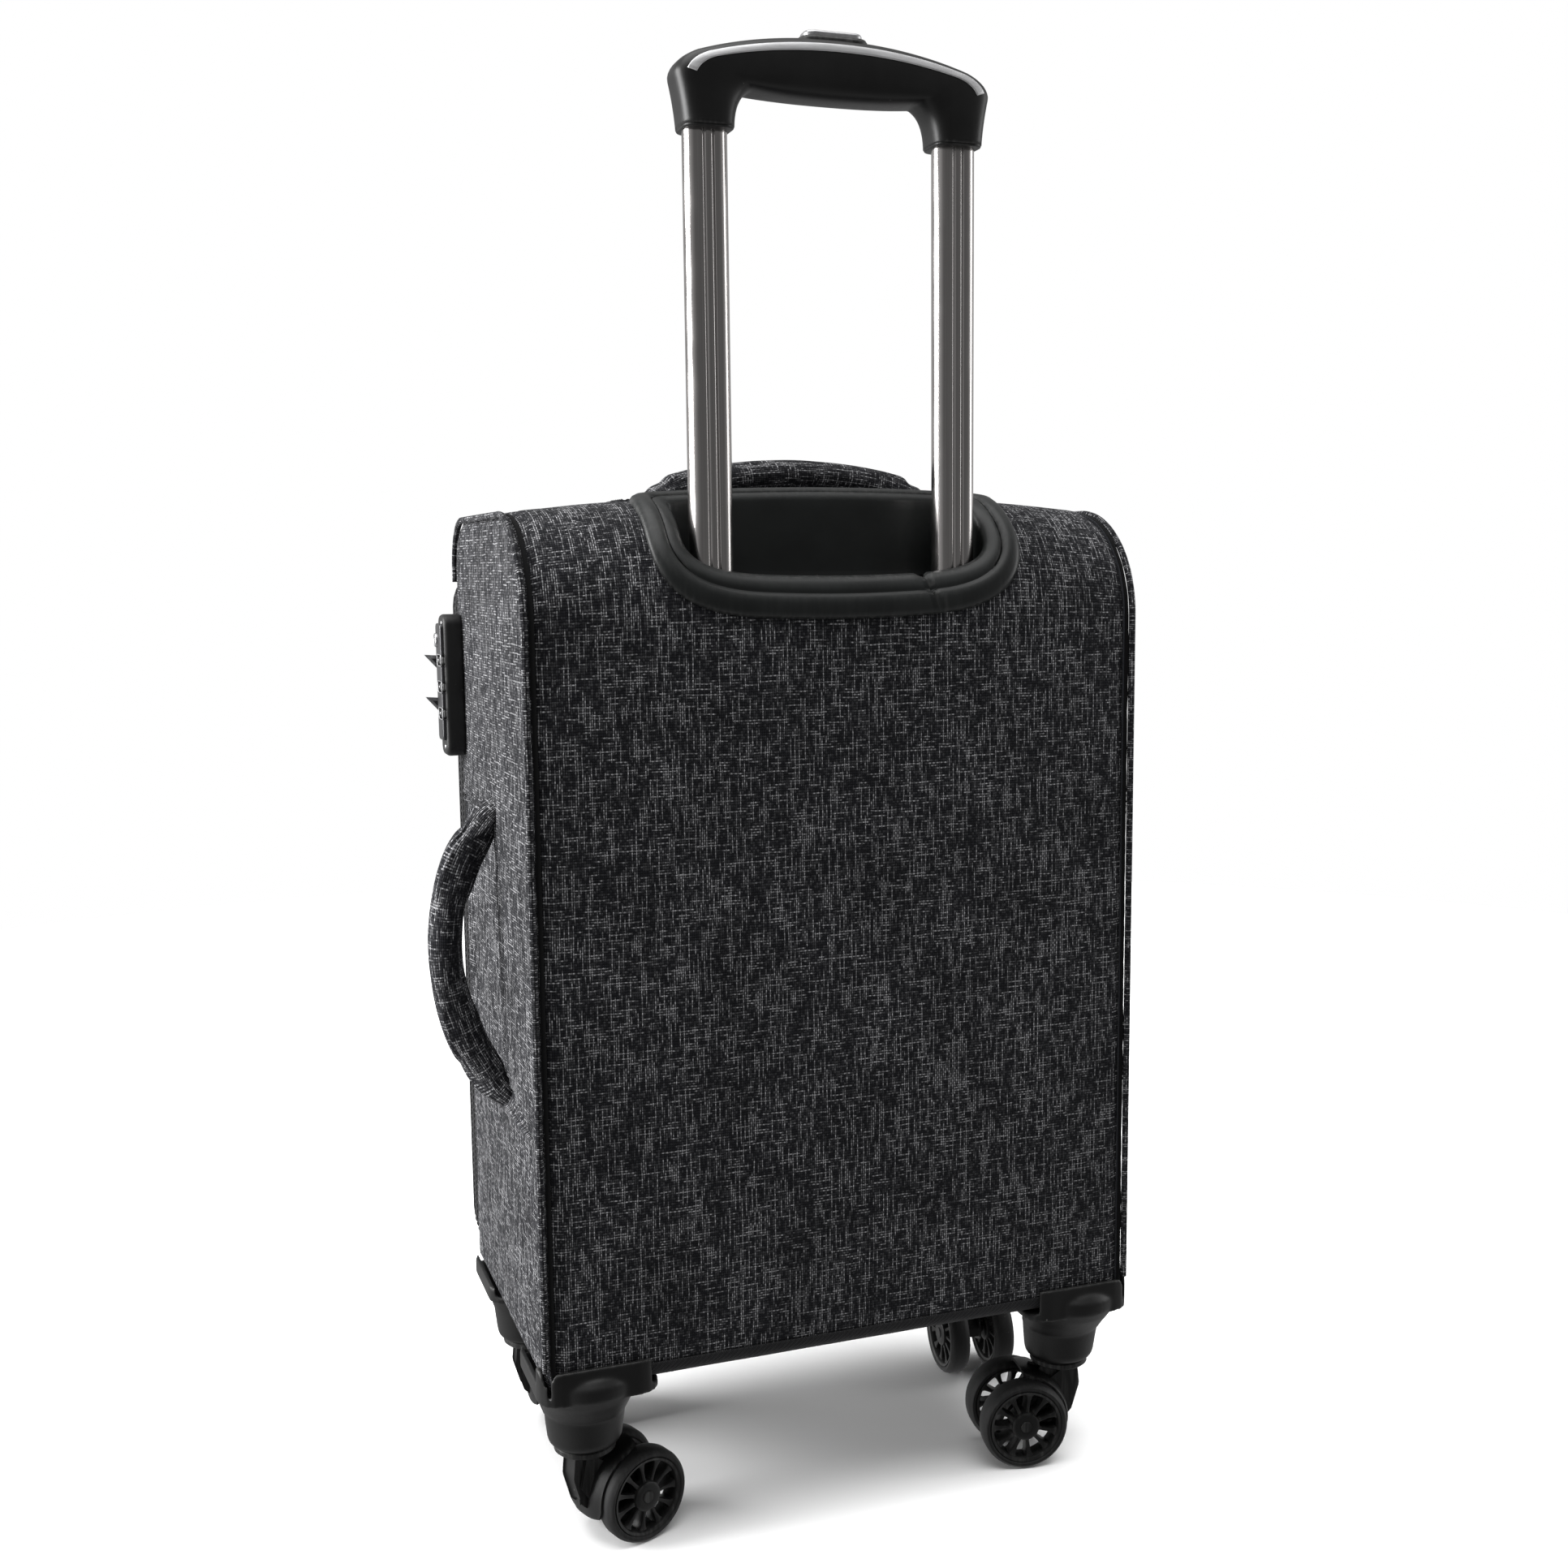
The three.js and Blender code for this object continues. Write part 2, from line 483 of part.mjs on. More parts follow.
// Corner guard with a rounded boss that the caster's housing runs up into.
function makeGuard(name, signX, back) {
  const { inner, depth, top, floor, wall } = GUARD;
  const outerX = CASE_HALF + 0.6 + wall;
  const edgeY = back ? 0.6 + wall : -CASE_DEPTH;
  const farY = back ? edgeY - depth : edgeY + depth;
  const [midX, midY] = [(inner + outerX) / 2, (edgeY + farY) / 2];
  const footprint = roundedRect(outerX - inner, depth, 12, midX, midY);
  const block = extrude(footprint, 'z', floor, top);
  const insideX = CASE_HALF + 0.4;
  const hollow = box(0, insideX, -300, back ? 0.4 : 100, CASE_BOTTOM - GAP, 200);
  const base = floor + 0.1;
  const dome = [[0, base], [29.5, base], [29, 100], [26, 106], [18, 110.5], [0, 112]];
  const points = dome.map(([r, z]) => new THREE.Vector2(r, z));
  const boss = outward(new THREE.LatheGeometry(points, 24).rotateX(Math.PI / 2));
  boss.translate(CASTER_X, CASTER_Y[back ? 0 : 1], 0);
  const guard = cut(join(block, boss), hollow);
  add(`corner_guard_${name}`, signX > 0 ? guard : mirrored(guard), plastic);
}

function mirrored(geometry) {
  const copy = geometry.clone().scale(-1, 1, 1);
  const order = copy.index.array;
  for (let i = 0; i < order.length; i += 3) {
    [order[i], order[i + 1]] = [order[i + 1], order[i]];
  }
  return copy;
}

function makeCaster(name, x, y) {
  const [low, high] = [HOUSING_BOTTOM, GUARD.floor - 0.4];
  const [thin, wide] = HOUSING_RADIUS;
  const profile = [[6.6, low], [thin, low], [thin + 1, low + 4], [thin + 2, low + 16],
    [thin + 3.2, high - 9], [wide, high], [6.6, high]];
  const points = profile.map(([r, z]) => new THREE.Vector2(r, z));
  points.push(points[0].clone());
  const housing = new THREE.LatheGeometry(points, 24).rotateX(Math.PI / 2);
  add(`caster_housing_${name}`, outward(housing).translate(x, y, 0), plastic);

  const caster = new THREE.Group();
  caster.position.set(x, y, 0);
  caster.rotation.z = THREE.MathUtils.degToRad(CASTER_HEADING[name]);
  suitcase.add(caster);
  const place = (part, geometry, material) => {
    const mesh = new THREE.Mesh(geometry, material());
    mesh.name = part;
    caster.add(mesh);
  };
  place(`caster_fork_${name}`, forkGeometry(), plastic);
  for (const [side, sign] of [['a', 1], ['b', -1]]) {
    const wheel = wheelGeometry().translate(TRAIL, (sign * WHEEL_SPACING) / 2, WHEEL_RADIUS);
    place(`wheel_${name}_${side}`, wheel, rubber);
  }
}

// Turns a closed surface right side out.
function outward(geometry) {
  const bare = geometry.clone().deleteAttribute('normal').deleteAttribute('uv');
  const solid = mergeVertices(bare, 1e-4);
  const at = solid.attributes.position;
  const corner = [0, 1, 2].map(() => new THREE.Vector3());
  let volume = 0;
  for (let i = 0; i < solid.index.count; i += 3) {
    corner.forEach((v, k) => v.fromBufferAttribute(at, solid.index.getX(i + k)));
    volume += corner[0].dot(corner[1].clone().cross(corner[2]));
  }
  if (volume > 0) return solid;
  const order = solid.index.array;
  for (let i = 0; i < order.length; i += 3) {
    [order[i], order[i + 1]] = [order[i + 1], order[i]];
  }
  return solid;
}

// Swivel stem, collar, web between the wheels, axle and a curved guard ahead of the wheels.
// Drawn with the swivel axis at the origin and the axle at x = TRAIL.
function forkGeometry() {
  const stem = cylinder(6.2, 50, 80, 'z', 0, 0, 16);
  const collar = cylinder(16, HOUSING_BOTTOM - 4, HOUSING_BOTTOM - GAP, 'z', 0, 0, 24);
  const side = [[-7, 57], [-9, 38], [-4, 24], [TRAIL - 4, 20], [TRAIL + 5, 24],
    [TRAIL + 3, 32], [10, 57]];
  const web = extrude(polygon(side), 'y', -6, 6);
  const axle = cylinder(3, -WHEEL_SPACING / 2 - 5, WHEEL_SPACING / 2 + 5, 'y', TRAIL, WHEEL_RADIUS, 12);
  const shield = new THREE.Shape();
  const [from, to] = [THREE.MathUtils.degToRad(98), THREE.MathUtils.degToRad(192)];
  shield.absarc(TRAIL, WHEEL_RADIUS, 29.2, from, to);
  shield.absarc(TRAIL, WHEEL_RADIUS, 27.2, to, from, true);
  const fender = extrude(shield, 'y', -14, 14, { segments: 4 });
  return join(stem, collar, web, axle, fender);
}

// Wheel with a bore for the axle, its axis along y.
function wheelGeometry() {
  const [r, half, bore] = [WHEEL_RADIUS, WHEEL_WIDTH / 2, 3.4];
  const profile = [[bore, -half], [r - 1.5, -half], [r, -half + 2.5], [r, half - 2.5], [r - 1.5, half],
    [bore, half], [bore, -half]];
  const lathe = new THREE.LatheGeometry(profile.map(([x, y]) => new THREE.Vector2(x, y)), 24);
  return outward(lathe);
}

function makeCasters() {
  for (const [side, signX] of [['right', 1], ['left', -1]]) {
    for (const [row, y] of [['back', CASTER_Y[0]], ['front', CASTER_Y[1]]]) {
      const name = `${row}_${side}`;
      makeGuard(name, signX, row === 'back');
      makeCaster(name, signX * CASTER_X, y);
    }
  }
}

makeShell();
makeCup();
makeTubes();
makeGrip();
makeHandles();
makeLock();
makeLid();
makeSliders();
makeInside();
makeCasters();

// The origin is the middle of the footprint, on the floor.
const middle = new THREE.Box3().setFromObject(suitcase, true).getCenter(new THREE.Vector3());
suitcase.position.set(-middle.x, -middle.y, 0);

export default suitcase;
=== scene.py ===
"""Softside upright suitcase: the visual model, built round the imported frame.

Shapes are written in millimetres in the case's own frame: x = 0 is the middle of the case,
y = 0 the outer face of its back panel and z = 0 the floor. ORIGIN carries them to the frame.
"""

import math

import bmesh
import bpy
import numpy as np
from mathutils import Matrix, Vector, noise


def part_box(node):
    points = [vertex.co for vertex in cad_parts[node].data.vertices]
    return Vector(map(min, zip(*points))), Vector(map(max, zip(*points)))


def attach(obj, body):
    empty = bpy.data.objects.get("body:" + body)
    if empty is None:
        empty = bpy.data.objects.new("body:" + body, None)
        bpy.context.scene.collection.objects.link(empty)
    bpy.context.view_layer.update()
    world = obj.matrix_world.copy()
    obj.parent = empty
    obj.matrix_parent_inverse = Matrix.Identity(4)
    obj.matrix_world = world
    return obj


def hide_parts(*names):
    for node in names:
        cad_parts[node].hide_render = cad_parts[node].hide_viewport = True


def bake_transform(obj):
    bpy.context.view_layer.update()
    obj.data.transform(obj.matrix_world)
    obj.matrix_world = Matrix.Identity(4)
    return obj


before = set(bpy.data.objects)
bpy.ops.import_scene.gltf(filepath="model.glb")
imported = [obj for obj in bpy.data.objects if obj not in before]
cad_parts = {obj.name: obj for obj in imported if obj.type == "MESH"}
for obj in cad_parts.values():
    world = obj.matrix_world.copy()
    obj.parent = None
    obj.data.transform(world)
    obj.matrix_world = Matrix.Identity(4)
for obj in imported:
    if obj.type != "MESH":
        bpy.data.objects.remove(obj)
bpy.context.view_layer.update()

MM = 0.001
SIDES = (("right", 1), ("left", -1))
PANEL_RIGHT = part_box("side_panel_right")
PANEL_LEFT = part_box("side_panel_left")
ORIGIN = np.array(((PANEL_LEFT[0].x + PANEL_RIGHT[1].x) / 2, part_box("back_panel")[1].y, 0.0))


def case_box(node):
    """A CAD node's lowest and highest corners in the case's frame, in millimetres."""
    return [(np.array(corner) - ORIGIN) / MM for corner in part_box(node)]


# ---- dimensions of the body, in millimetres --------------------------------------------------
HALF = 169.0
DEPTH = 198.0
BOTTOM = 100.0
TOP = 551.0
CROWN = 9.0
CROWN_START = 470.0
BACK_RADIUS = 58.0
FRONT_RADIUS = 30.0
FOOT_RADIUS = 10.0
SEAM_Y = -62.0
WRAP_HALF = 164.6
PIPING_RADIUS = 1.8
BODY_MIDDLE = (0, -99, 320)

# ==== meshes ==================================================================================


def smoothstep(low, high, value):
    t = np.clip((np.asarray(value, float) - low) / (high - low), 0, 1)
    return t * t * (3 - 2 * t)


def arc_lengths(points):
    """Distance along a line of points, in metres."""
    steps = np.linalg.norm(np.diff(points, axis=0), axis=1)
    return np.concatenate([[0], np.cumsum(steps)]) * MM


class Shape:
    """Points in case millimetres, with faces, weave coordinates in metres and material numbers."""

    def __init__(self):
        self.points = []
        self.faces = []
        self.uvs = []
        self.slots = []

    def face(self, corners, uvs, slot=0):
        self.faces.append(tuple(corners))
        self.uvs.extend(uvs)
        self.slots.append(slot)

    def grid(self, points, wrap_u=False, wrap_v=False, slot=0, us=None, vs=None, keep=None, caps=False):
        """A sheet of quads through points[u][v]; keep is a test on a face's (u, v) place."""
        points = np.asarray(points, float)
        rows, columns = points.shape[:2]
        first = len(self.points)
        self.points.extend(points.reshape(-1, 3).tolist())
        if us is None:
            middle = points[:, columns // 2]
            us = arc_lengths(np.vstack([middle, middle[:1]]) if wrap_u else middle)
        if vs is None:
            middle = points[rows // 2]
            vs = arc_lengths(np.vstack([middle, middle[:1]]) if wrap_v else middle)
        for i in range(rows if wrap_u else rows - 1):
            for j in range(columns if wrap_v else columns - 1):
                if keep is not None and not keep(i, j):
                    continue
                ring = ((i, j), (i + 1, j), (i + 1, j + 1), (i, j + 1))
                corners = [first + (a % rows) * columns + b % columns for a, b in ring]
                self.face(corners, [(us[a], vs[b]) for a, b in ring], slot)
        if caps:
            self.cap(range(first, first + columns), slot)
            self.cap(range(first + (rows - 1) * columns, first + rows * columns), slot)
        return self

    def cap(self, corners, slot=0):
        corners = list(corners)
        flat = [(self.points[c][0] * MM, self.points[c][2] * MM) for c in corners]
        self.face(corners, flat, slot)

    def tube(self, path, section, slot=0, closed=False, up=(0, 0, 1), scale=None, caps=True):
        """A section swept along a path. up points along the section's second axis."""
        path = np.asarray(path, float)
        ahead = np.roll(path, -1, axis=0) - np.roll(path, 1, axis=0)
        if not closed:
            ahead[0], ahead[-1] = path[1] - path[0], path[-1] - path[-2]
        ahead /= np.linalg.norm(ahead, axis=1)[:, None]
        ups = np.broadcast_to(np.asarray(up, float), path.shape)
        across = np.cross(ahead, ups)
        across /= np.linalg.norm(across, axis=1)[:, None]
        above = np.cross(across, ahead)
        section = np.asarray(section, float)
        scale = np.ones(len(path)) if scale is None else np.asarray(scale, float)
        rings = [
            p + (section[:, :1] * a + section[:, 1:] * b) * k
            for p, a, b, k in zip(path, across, above, scale)
        ]
        return self.grid(rings, wrap_u=closed, wrap_v=True, slot=slot, caps=caps and not closed)

    def lathe(self, profile, centre=(0, 0, 0), axis=(0, 0, 1), sides=48, slot=0, closed=False):
        """A profile of (radius, height) turned about an axis. Radius 0 closes an end."""
        axis = Vector(axis).normalized()
        side = axis.orthogonal().normalized()
        other = axis.cross(side)
        turns = [2 * math.pi * k / sides for k in range(sides)]
        points = [
            [
                np.array(centre) + h * np.array(axis)
                + r * (math.cos(t) * np.array(side) + math.sin(t) * np.array(other))
                for r, h in profile
            ]
            for t in turns
        ]
        return self.grid(points, wrap_u=True, wrap_v=closed, slot=slot)

    def slab(self, outline, low, high, edge=0.8, slot=0, place=None, steps=3):
        """An outline in (a, b) thickened from low to high along c with rounded edges, then placed."""
        outline = np.asarray(outline, float)
        place = place or (lambda p: p)
        normal = outline_normals(outline)
        angles = np.linspace(0, math.pi / 2, steps + 1)
        rows = [(edge * (1 - math.sin(t)), low + edge * (1 - math.cos(t))) for t in angles]
        rows += [(edge * (1 - math.sin(t)), high - edge * (1 - math.cos(t))) for t in angles[::-1]]
        rings = [place(at_height(outline - normal * inset, c)) for inset, c in rows]
        return self.grid(rings, wrap_v=True, slot=slot, caps=True)

    def lined(self, outer, inner, us=None, vs=None):
        """Two sheets of the same size, the inner one in the second material, closed at their borders."""
        self.grid(outer, us=us, vs=vs)
        first = len(self.points)
        self.grid(inner, us=us, vs=vs, slot=1)
        rows, columns = outer.shape[:2]
        border = [(i, 0) for i in range(rows)] + [(rows - 1, j) for j in range(1, columns)]
        border += [(i, columns - 1) for i in range(rows - 2, -1, -1)]
        border += [(0, j) for j in range(columns - 2, 0, -1)]
        for (i, j), (k, m) in zip(border, border[1:] + border[:1]):
            a, b = i * columns + j, k * columns + m
            self.face((a, b, first + b, first + a), [(0, 0)] * 4)
        return self

    def build(self, name, body, materials, closed=True, smooth=True, slot=None, replaces=()):
        """Makes the object, in metres in the row frame, and lets it ride on a body."""
        mesh = bpy.data.meshes.new(name)
        points = np.asarray(self.points) * MM + ORIGIN
        mesh.from_pydata(points.tolist(), [], self.faces)
        for material in materials:
            mesh.materials.append(material)
        layer = mesh.uv_layers.new(name="weave")
        layer.data.foreach_set("uv", np.asarray(self.uvs, np.float32).ravel())
        mesh.polygons.foreach_set("material_index", self.slots)
        mesh.polygons.foreach_set("use_smooth", [smooth] * len(self.faces))
        if closed:
            turn_outward(mesh)
        mesh.update()
        obj = bpy.data.objects.new(name, mesh)
        bpy.context.scene.collection.objects.link(obj)
        if body:
            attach(obj, body)
        if replaces:
            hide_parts(*replaces)
        return obj


def turn_outward(mesh):
    work = bmesh.new()
    work.from_mesh(mesh)
    bmesh.ops.recalc_face_normals(work, faces=work.faces)
    work.to_mesh(mesh)
    work.free()


def outline_normals(outline):
    """Outward unit normals of a closed outline that runs counter-clockwise."""
    ahead = np.roll(outline, -1, axis=0) - outline
    ahead /= np.maximum(np.linalg.norm(ahead, axis=1), 1e-9)[:, None]
    normal = np.column_stack([ahead[:, 1], -ahead[:, 0]])
    both = normal + np.roll(normal, 1, axis=0)
    return both / np.maximum(np.linalg.norm(both, axis=1), 1e-6)[:, None]


def rounded_rect(width, height, radius, centre=(0, 0), corner=6):
    points = []
    for k, (sx, sy) in enumerate(((1, -1), (1, 1), (-1, 1), (-1, -1))):
        for t in np.linspace(0, math.pi / 2, corner + 1):
            angle = (k - 1) * math.pi / 2 + t
            points.append(
                (
                    centre[0] + sx * (width / 2 - radius) + radius * math.cos(angle),
                    centre[1] + sy * (height / 2 - radius) + radius * math.sin(angle),
                )
            )
    return np.array(points)


def resample(points, step, closed=False):
    """The same line with points about every step."""
    points = np.asarray(points, float)
    if closed:
        points = np.vstack([points, points[:1]])
    along = arc_lengths(points) / MM
    count = max(2, int(round(along[-1] / step)) + 1)
    places = np.linspace(0, along[-1], count)
    line = np.column_stack([np.interp(places, along, points[:, k]) for k in range(points.shape[1])])
    return line[:-1] if closed else line


def bezier(p0, p1, p2, p3=None, count=12):
    t = np.linspace(0, 1, count)[:, None]
    p0, p1, p2 = (np.asarray(p, float) for p in (p0, p1, p2))
    if p3 is None:
        return (1 - t) ** 2 * p0 + 2 * t * (1 - t) * p1 + t**2 * p2
    p3 = np.asarray(p3, float)
    return (1 - t) ** 3 * p0 + 3 * t * (1 - t) ** 2 * p1 + 3 * t**2 * (1 - t) * p2 + t**3 * p3


def circle(radius, sides):
    turns = np.arange(sides) * 2 * math.pi / sides
    return np.column_stack([radius * np.cos(turns), radius * np.sin(turns)])


def evenly(line, count):
    """A closed line with a set number of points."""
    line = np.vstack([line, line[:1]])
    return resample(line, arc_lengths(line)[-1] / MM / count)[:count]


def at_height(line, z):
    """Points of a line in (x, y) at one height."""
    return np.column_stack([line, np.full(len(line), z)])


def at_depth(line, y):
    """Points of a line in (x, z) at one depth."""
    return np.column_stack([line[:, 0], np.full(len(line), y), line[:, 1]])


def along_x(p):
    """Places (a, b, c) as y = a, z = b and x = c."""
    return np.column_stack([p[:, 2], p[:, 0], p[:, 1]])


def along_y(p):
    """Places (a, b, c) as x = a, z = b and y = c."""
    return np.column_stack([p[:, 0], p[:, 2], p[:, 1]])


def facing_front(p):
    """Places (a, b, c) as x = a, z = b and y = -c."""
    return np.column_stack([p[:, 0], -p[:, 2], p[:, 1]])


def soften(obj, width, segments=3):
    """Rounded edges on a mesh of flat faces, as a modifier."""
    bevel = obj.modifiers.new("edges", "BEVEL")
    bevel.width = width * MM
    bevel.segments = segments
    bevel.limit_method = "ANGLE"
    bevel.angle_limit = math.radians(35)


def cut_with(obj, tool, operation="DIFFERENCE"):
    """A boolean modifier with another object as its tool."""
    step = obj.modifiers.new("cut", "BOOLEAN")
    step.operation = operation
    step.solver = "EXACT"
    step.object = tool


def keep_result(obj):
    """Replaces an object's mesh by what its modifiers make of it."""
    graph = bpy.context.evaluated_depsgraph_get()
    obj.data = bpy.data.meshes.new_from_object(obj.evaluated_get(graph))
    obj.modifiers.clear()
    return obj.data


def smooth_by_angle(mesh, angle):
    """Smooth faces with sharp edges where they meet at more than the angle."""
    mesh.polygons.foreach_set("use_smooth", [True] * len(mesh.polygons))
    work = bmesh.new()
    work.from_mesh(mesh)
    for edge in work.edges:
        edge.smooth = len(edge.link_faces) == 2 and edge.calc_face_angle(0) < math.radians(angle)
    work.to_mesh(mesh)
    work.free()


# ==== materials ===============================================================================


class Graph:
    """A node material, with short calls for the nodes that it is made of."""

    def __init__(self, name):
        self.material = bpy.data.materials.new(name)
        self.material.use_nodes = True
        self.tree = self.material.node_tree
        self.tree.nodes.clear()
        self.shader = self.node("ShaderNodeBsdfPrincipled")
        output = self.node("ShaderNodeOutputMaterial")
        self.tree.links.new(self.shader.outputs[0], output.inputs[0])

    def node(self, kind, **settings):
        made = self.tree.nodes.new(kind)
        for key, value in settings.items():
            setattr(made, key, value)
        return made

    def plug(self, socket, value):
        if isinstance(value, bpy.types.NodeSocket):
            self.tree.links.new(value, socket)
        elif value is not None:
            socket.default_value = value

    def math(self, operation, *values, clamp=False):
        made = self.node("ShaderNodeMath", operation=operation, use_clamp=clamp)
        for socket, value in zip(made.inputs, values):
            self.plug(socket, value)
        return made.outputs[0]

    def ramp(self, value, low, high, out_low=0.0, out_high=1.0):
        made = self.node("ShaderNodeMapRange", interpolation_type="SMOOTHSTEP")
        for socket, given in zip(made.inputs, (value, low, high, out_low, out_high)):
            self.plug(socket, given)
        return made.outputs[0]

    def mix(self, factor, a, b):
        made = self.node("ShaderNodeMix", data_type="RGBA")
        for socket, value in zip((made.inputs[0], made.inputs[6], made.inputs[7]), (factor, a, b)):
            self.plug(socket, value)
        return made.outputs[2]

    def scale(self, colour, by):
        made = self.node("ShaderNodeVectorMath", operation="SCALE")
        self.plug(made.inputs[0], colour)
        self.plug(made.inputs[3], by)
        return made.outputs[0]

    def vector(self, x, y, z=0.0):
        made = self.node("ShaderNodeCombineXYZ")
        for socket, value in zip(made.inputs, (x, y, z)):
            self.plug(socket, value)
        return made.outputs[0]

    def stretch(self, vector, factors):
        made = self.node("ShaderNodeMapping")
        self.plug(made.inputs["Vector"], vector)
        made.inputs["Scale"].default_value = factors
        return made.outputs[0]

    def noise(self, vector, scale, detail=2.0, roughness=0.5):
        made = self.node("ShaderNodeTexNoise")
        self.plug(made.inputs["Vector"], vector)
        made.inputs["Scale"].default_value = scale
        made.inputs["Detail"].default_value = detail
        made.inputs["Roughness"].default_value = roughness
        return made.outputs["Fac"]

    def cells(self, vector, scale, feature="F1"):
        made = self.node("ShaderNodeTexVoronoi", feature=feature)
        self.plug(made.inputs["Vector"], vector)
        made.inputs["Scale"].default_value = scale
        return made.outputs["Distance"]

    def weave_coordinates(self):
        uv = self.node("ShaderNodeUVMap", uv_map="weave").outputs[0]
        split = self.node("ShaderNodeSeparateXYZ")
        self.plug(split.inputs[0], uv)
        return uv, split.outputs[0], split.outputs[1]

    def own(self):
        return self.node("ShaderNodeTexCoord").outputs["Object"]

    def bump(self, height, distance, strength=1.0):
        made = self.node("ShaderNodeBump")
        made.inputs["Distance"].default_value = distance
        made.inputs["Strength"].default_value = strength
        self.plug(made.inputs["Height"], height)
        self.plug(self.shader.inputs["Normal"], made.outputs[0])

    def finish(self, colour, roughness, **others):
        self.plug(self.shader.inputs["Base Color"], colour)
        self.plug(self.shader.inputs["Roughness"], roughness)
        for key, value in others.items():
            self.plug(self.shader.inputs[key.replace("_", " ")], value)
        return self.material


def heather(name, dark, light, pitch=(1.15, 1.4), slubs=(0.5, 0.59), relief=0.35, sheen=0.03, depth=0.1):
    """Plain weave with coarse threads and thin light slubs that run some way along single threads, with
    painted shade that darkens the colour where the threads sink, down to depth in the gaps.
    """
    g = Graph(name)
    uv, across, along = g.weave_coordinates()
    drift = g.math("MULTIPLY_ADD", g.noise(uv, 60.0, 2.0), 0.7, -0.35)
    u = g.math("MULTIPLY_ADD", across, 1000 / pitch[0], drift)
    v = g.math("MULTIPLY_ADD", along, 1000 / pitch[1], drift)
    warp, weft = g.math("FLOOR", u), g.math("FLOOR", v)
    place_u, place_v = g.math("FRACT", u), g.math("FRACT", v)
    bulge_u = g.math("SINE", g.math("MULTIPLY", place_u, math.pi))
    bulge_v = g.math("SINE", g.math("MULTIPLY", place_v, math.pi))
    over = g.math("PINGPONG", g.math("ADD", warp, weft), 1.0)
    under = g.math("SUBTRACT", 1.0, over)
    warp_height = g.math("MULTIPLY", g.math("SQRT", bulge_u), g.math("MULTIPLY_ADD", bulge_v, 0.6, 0.4))
    weft_height = g.math("MULTIPLY", g.math("SQRT", bulge_v), g.math("MULTIPLY_ADD", bulge_u, 0.6, 0.4))
    height = g.math(
        "ADD", g.math("MULTIPLY", warp_height, over), g.math("MULTIPLY", weft_height, under)
    )

    def slub(thread, place, distance, length, seed, limits):
        """Light fibres in one thread: a thin line that comes and goes along it."""
        own_line = g.math("MULTIPLY_ADD", thread, 7.31, seed)
        spot = g.vector(own_line, g.math("MULTIPLY", distance, 1000 / length))
        run = g.ramp(g.noise(spot, 1.0, 2.0, 0.6), *limits)
        offset = g.math("MULTIPLY_ADD", g.noise(spot, 2.3, 1.0), 0.4, -0.2)
        line = g.math("ABSOLUTE", g.math("SUBTRACT", g.math("SUBTRACT", place, 0.5), offset))
        return g.math("MULTIPLY", run, g.ramp(line, 0.34, 0.1))

    warp_slub = slub(warp, place_u, along, 17.0, 3.7, slubs)
    weft_slub = slub(weft, place_v, across, 12.0, 91.3, (slubs[0] + 0.025, slubs[1] + 0.03))
    top_warp = g.math("MULTIPLY", warp_slub, g.math("MULTIPLY_ADD", over, 0.6, 0.4))
    top_weft = g.math("MULTIPLY", weft_slub, g.math("MULTIPLY_ADD", under, 0.7, 0.3))
    fibre_warp = g.noise(g.stretch(uv, (2300.0, 260.0, 1.0)), 1.0, 2.0)
    fibre_weft = g.noise(g.stretch(uv, (260.0, 2300.0, 1.0)), 1.0, 2.0)
    fibre = g.math("ADD", g.math("MULTIPLY", fibre_warp, over), g.math("MULTIPLY", fibre_weft, under))
    cell = g.node("ShaderNodeTexWhiteNoise", noise_dimensions="2D")
    g.plug(cell.inputs["Vector"], g.vector(warp, weft))
    speckle = g.math("MULTIPLY", g.ramp(cell.outputs["Value"], 0.4, 1.0), 0.12)
    shade = g.math("MAXIMUM", g.math("MAXIMUM", top_warp, top_weft), speckle)
    shade = g.math("MULTIPLY", shade, g.ramp(fibre, 0.3, 0.62, 0.5, 1.0))
    patch = g.ramp(g.noise(uv, 24.0, 3.0), 0.3, 0.7, 0.82, 1.15)
    colour = g.mix(shade, (*dark, 1), (*light, 1))
    # Painted shade: the colour is scaled by the thread height, down to depth in the gaps between threads.
    gap = g.math("MULTIPLY_ADD", g.ramp(height, 0.1, 0.75), 1 - depth, depth)
    grain = g.ramp(fibre, 0.2, 0.8, 0.6, 1.35)
    colour = g.scale(colour, g.math("MULTIPLY", g.math("MULTIPLY", gap, patch), grain))
    g.bump(g.math("MULTIPLY_ADD", fibre, 0.25, height), relief * MM, 0.8)
    return g.finish(colour, g.ramp(fibre, 0.3, 0.7, 0.82, 0.97), Sheen_Weight=sheen, Sheen_Roughness=0.45,
                    Specular_IOR_Level=0.2)


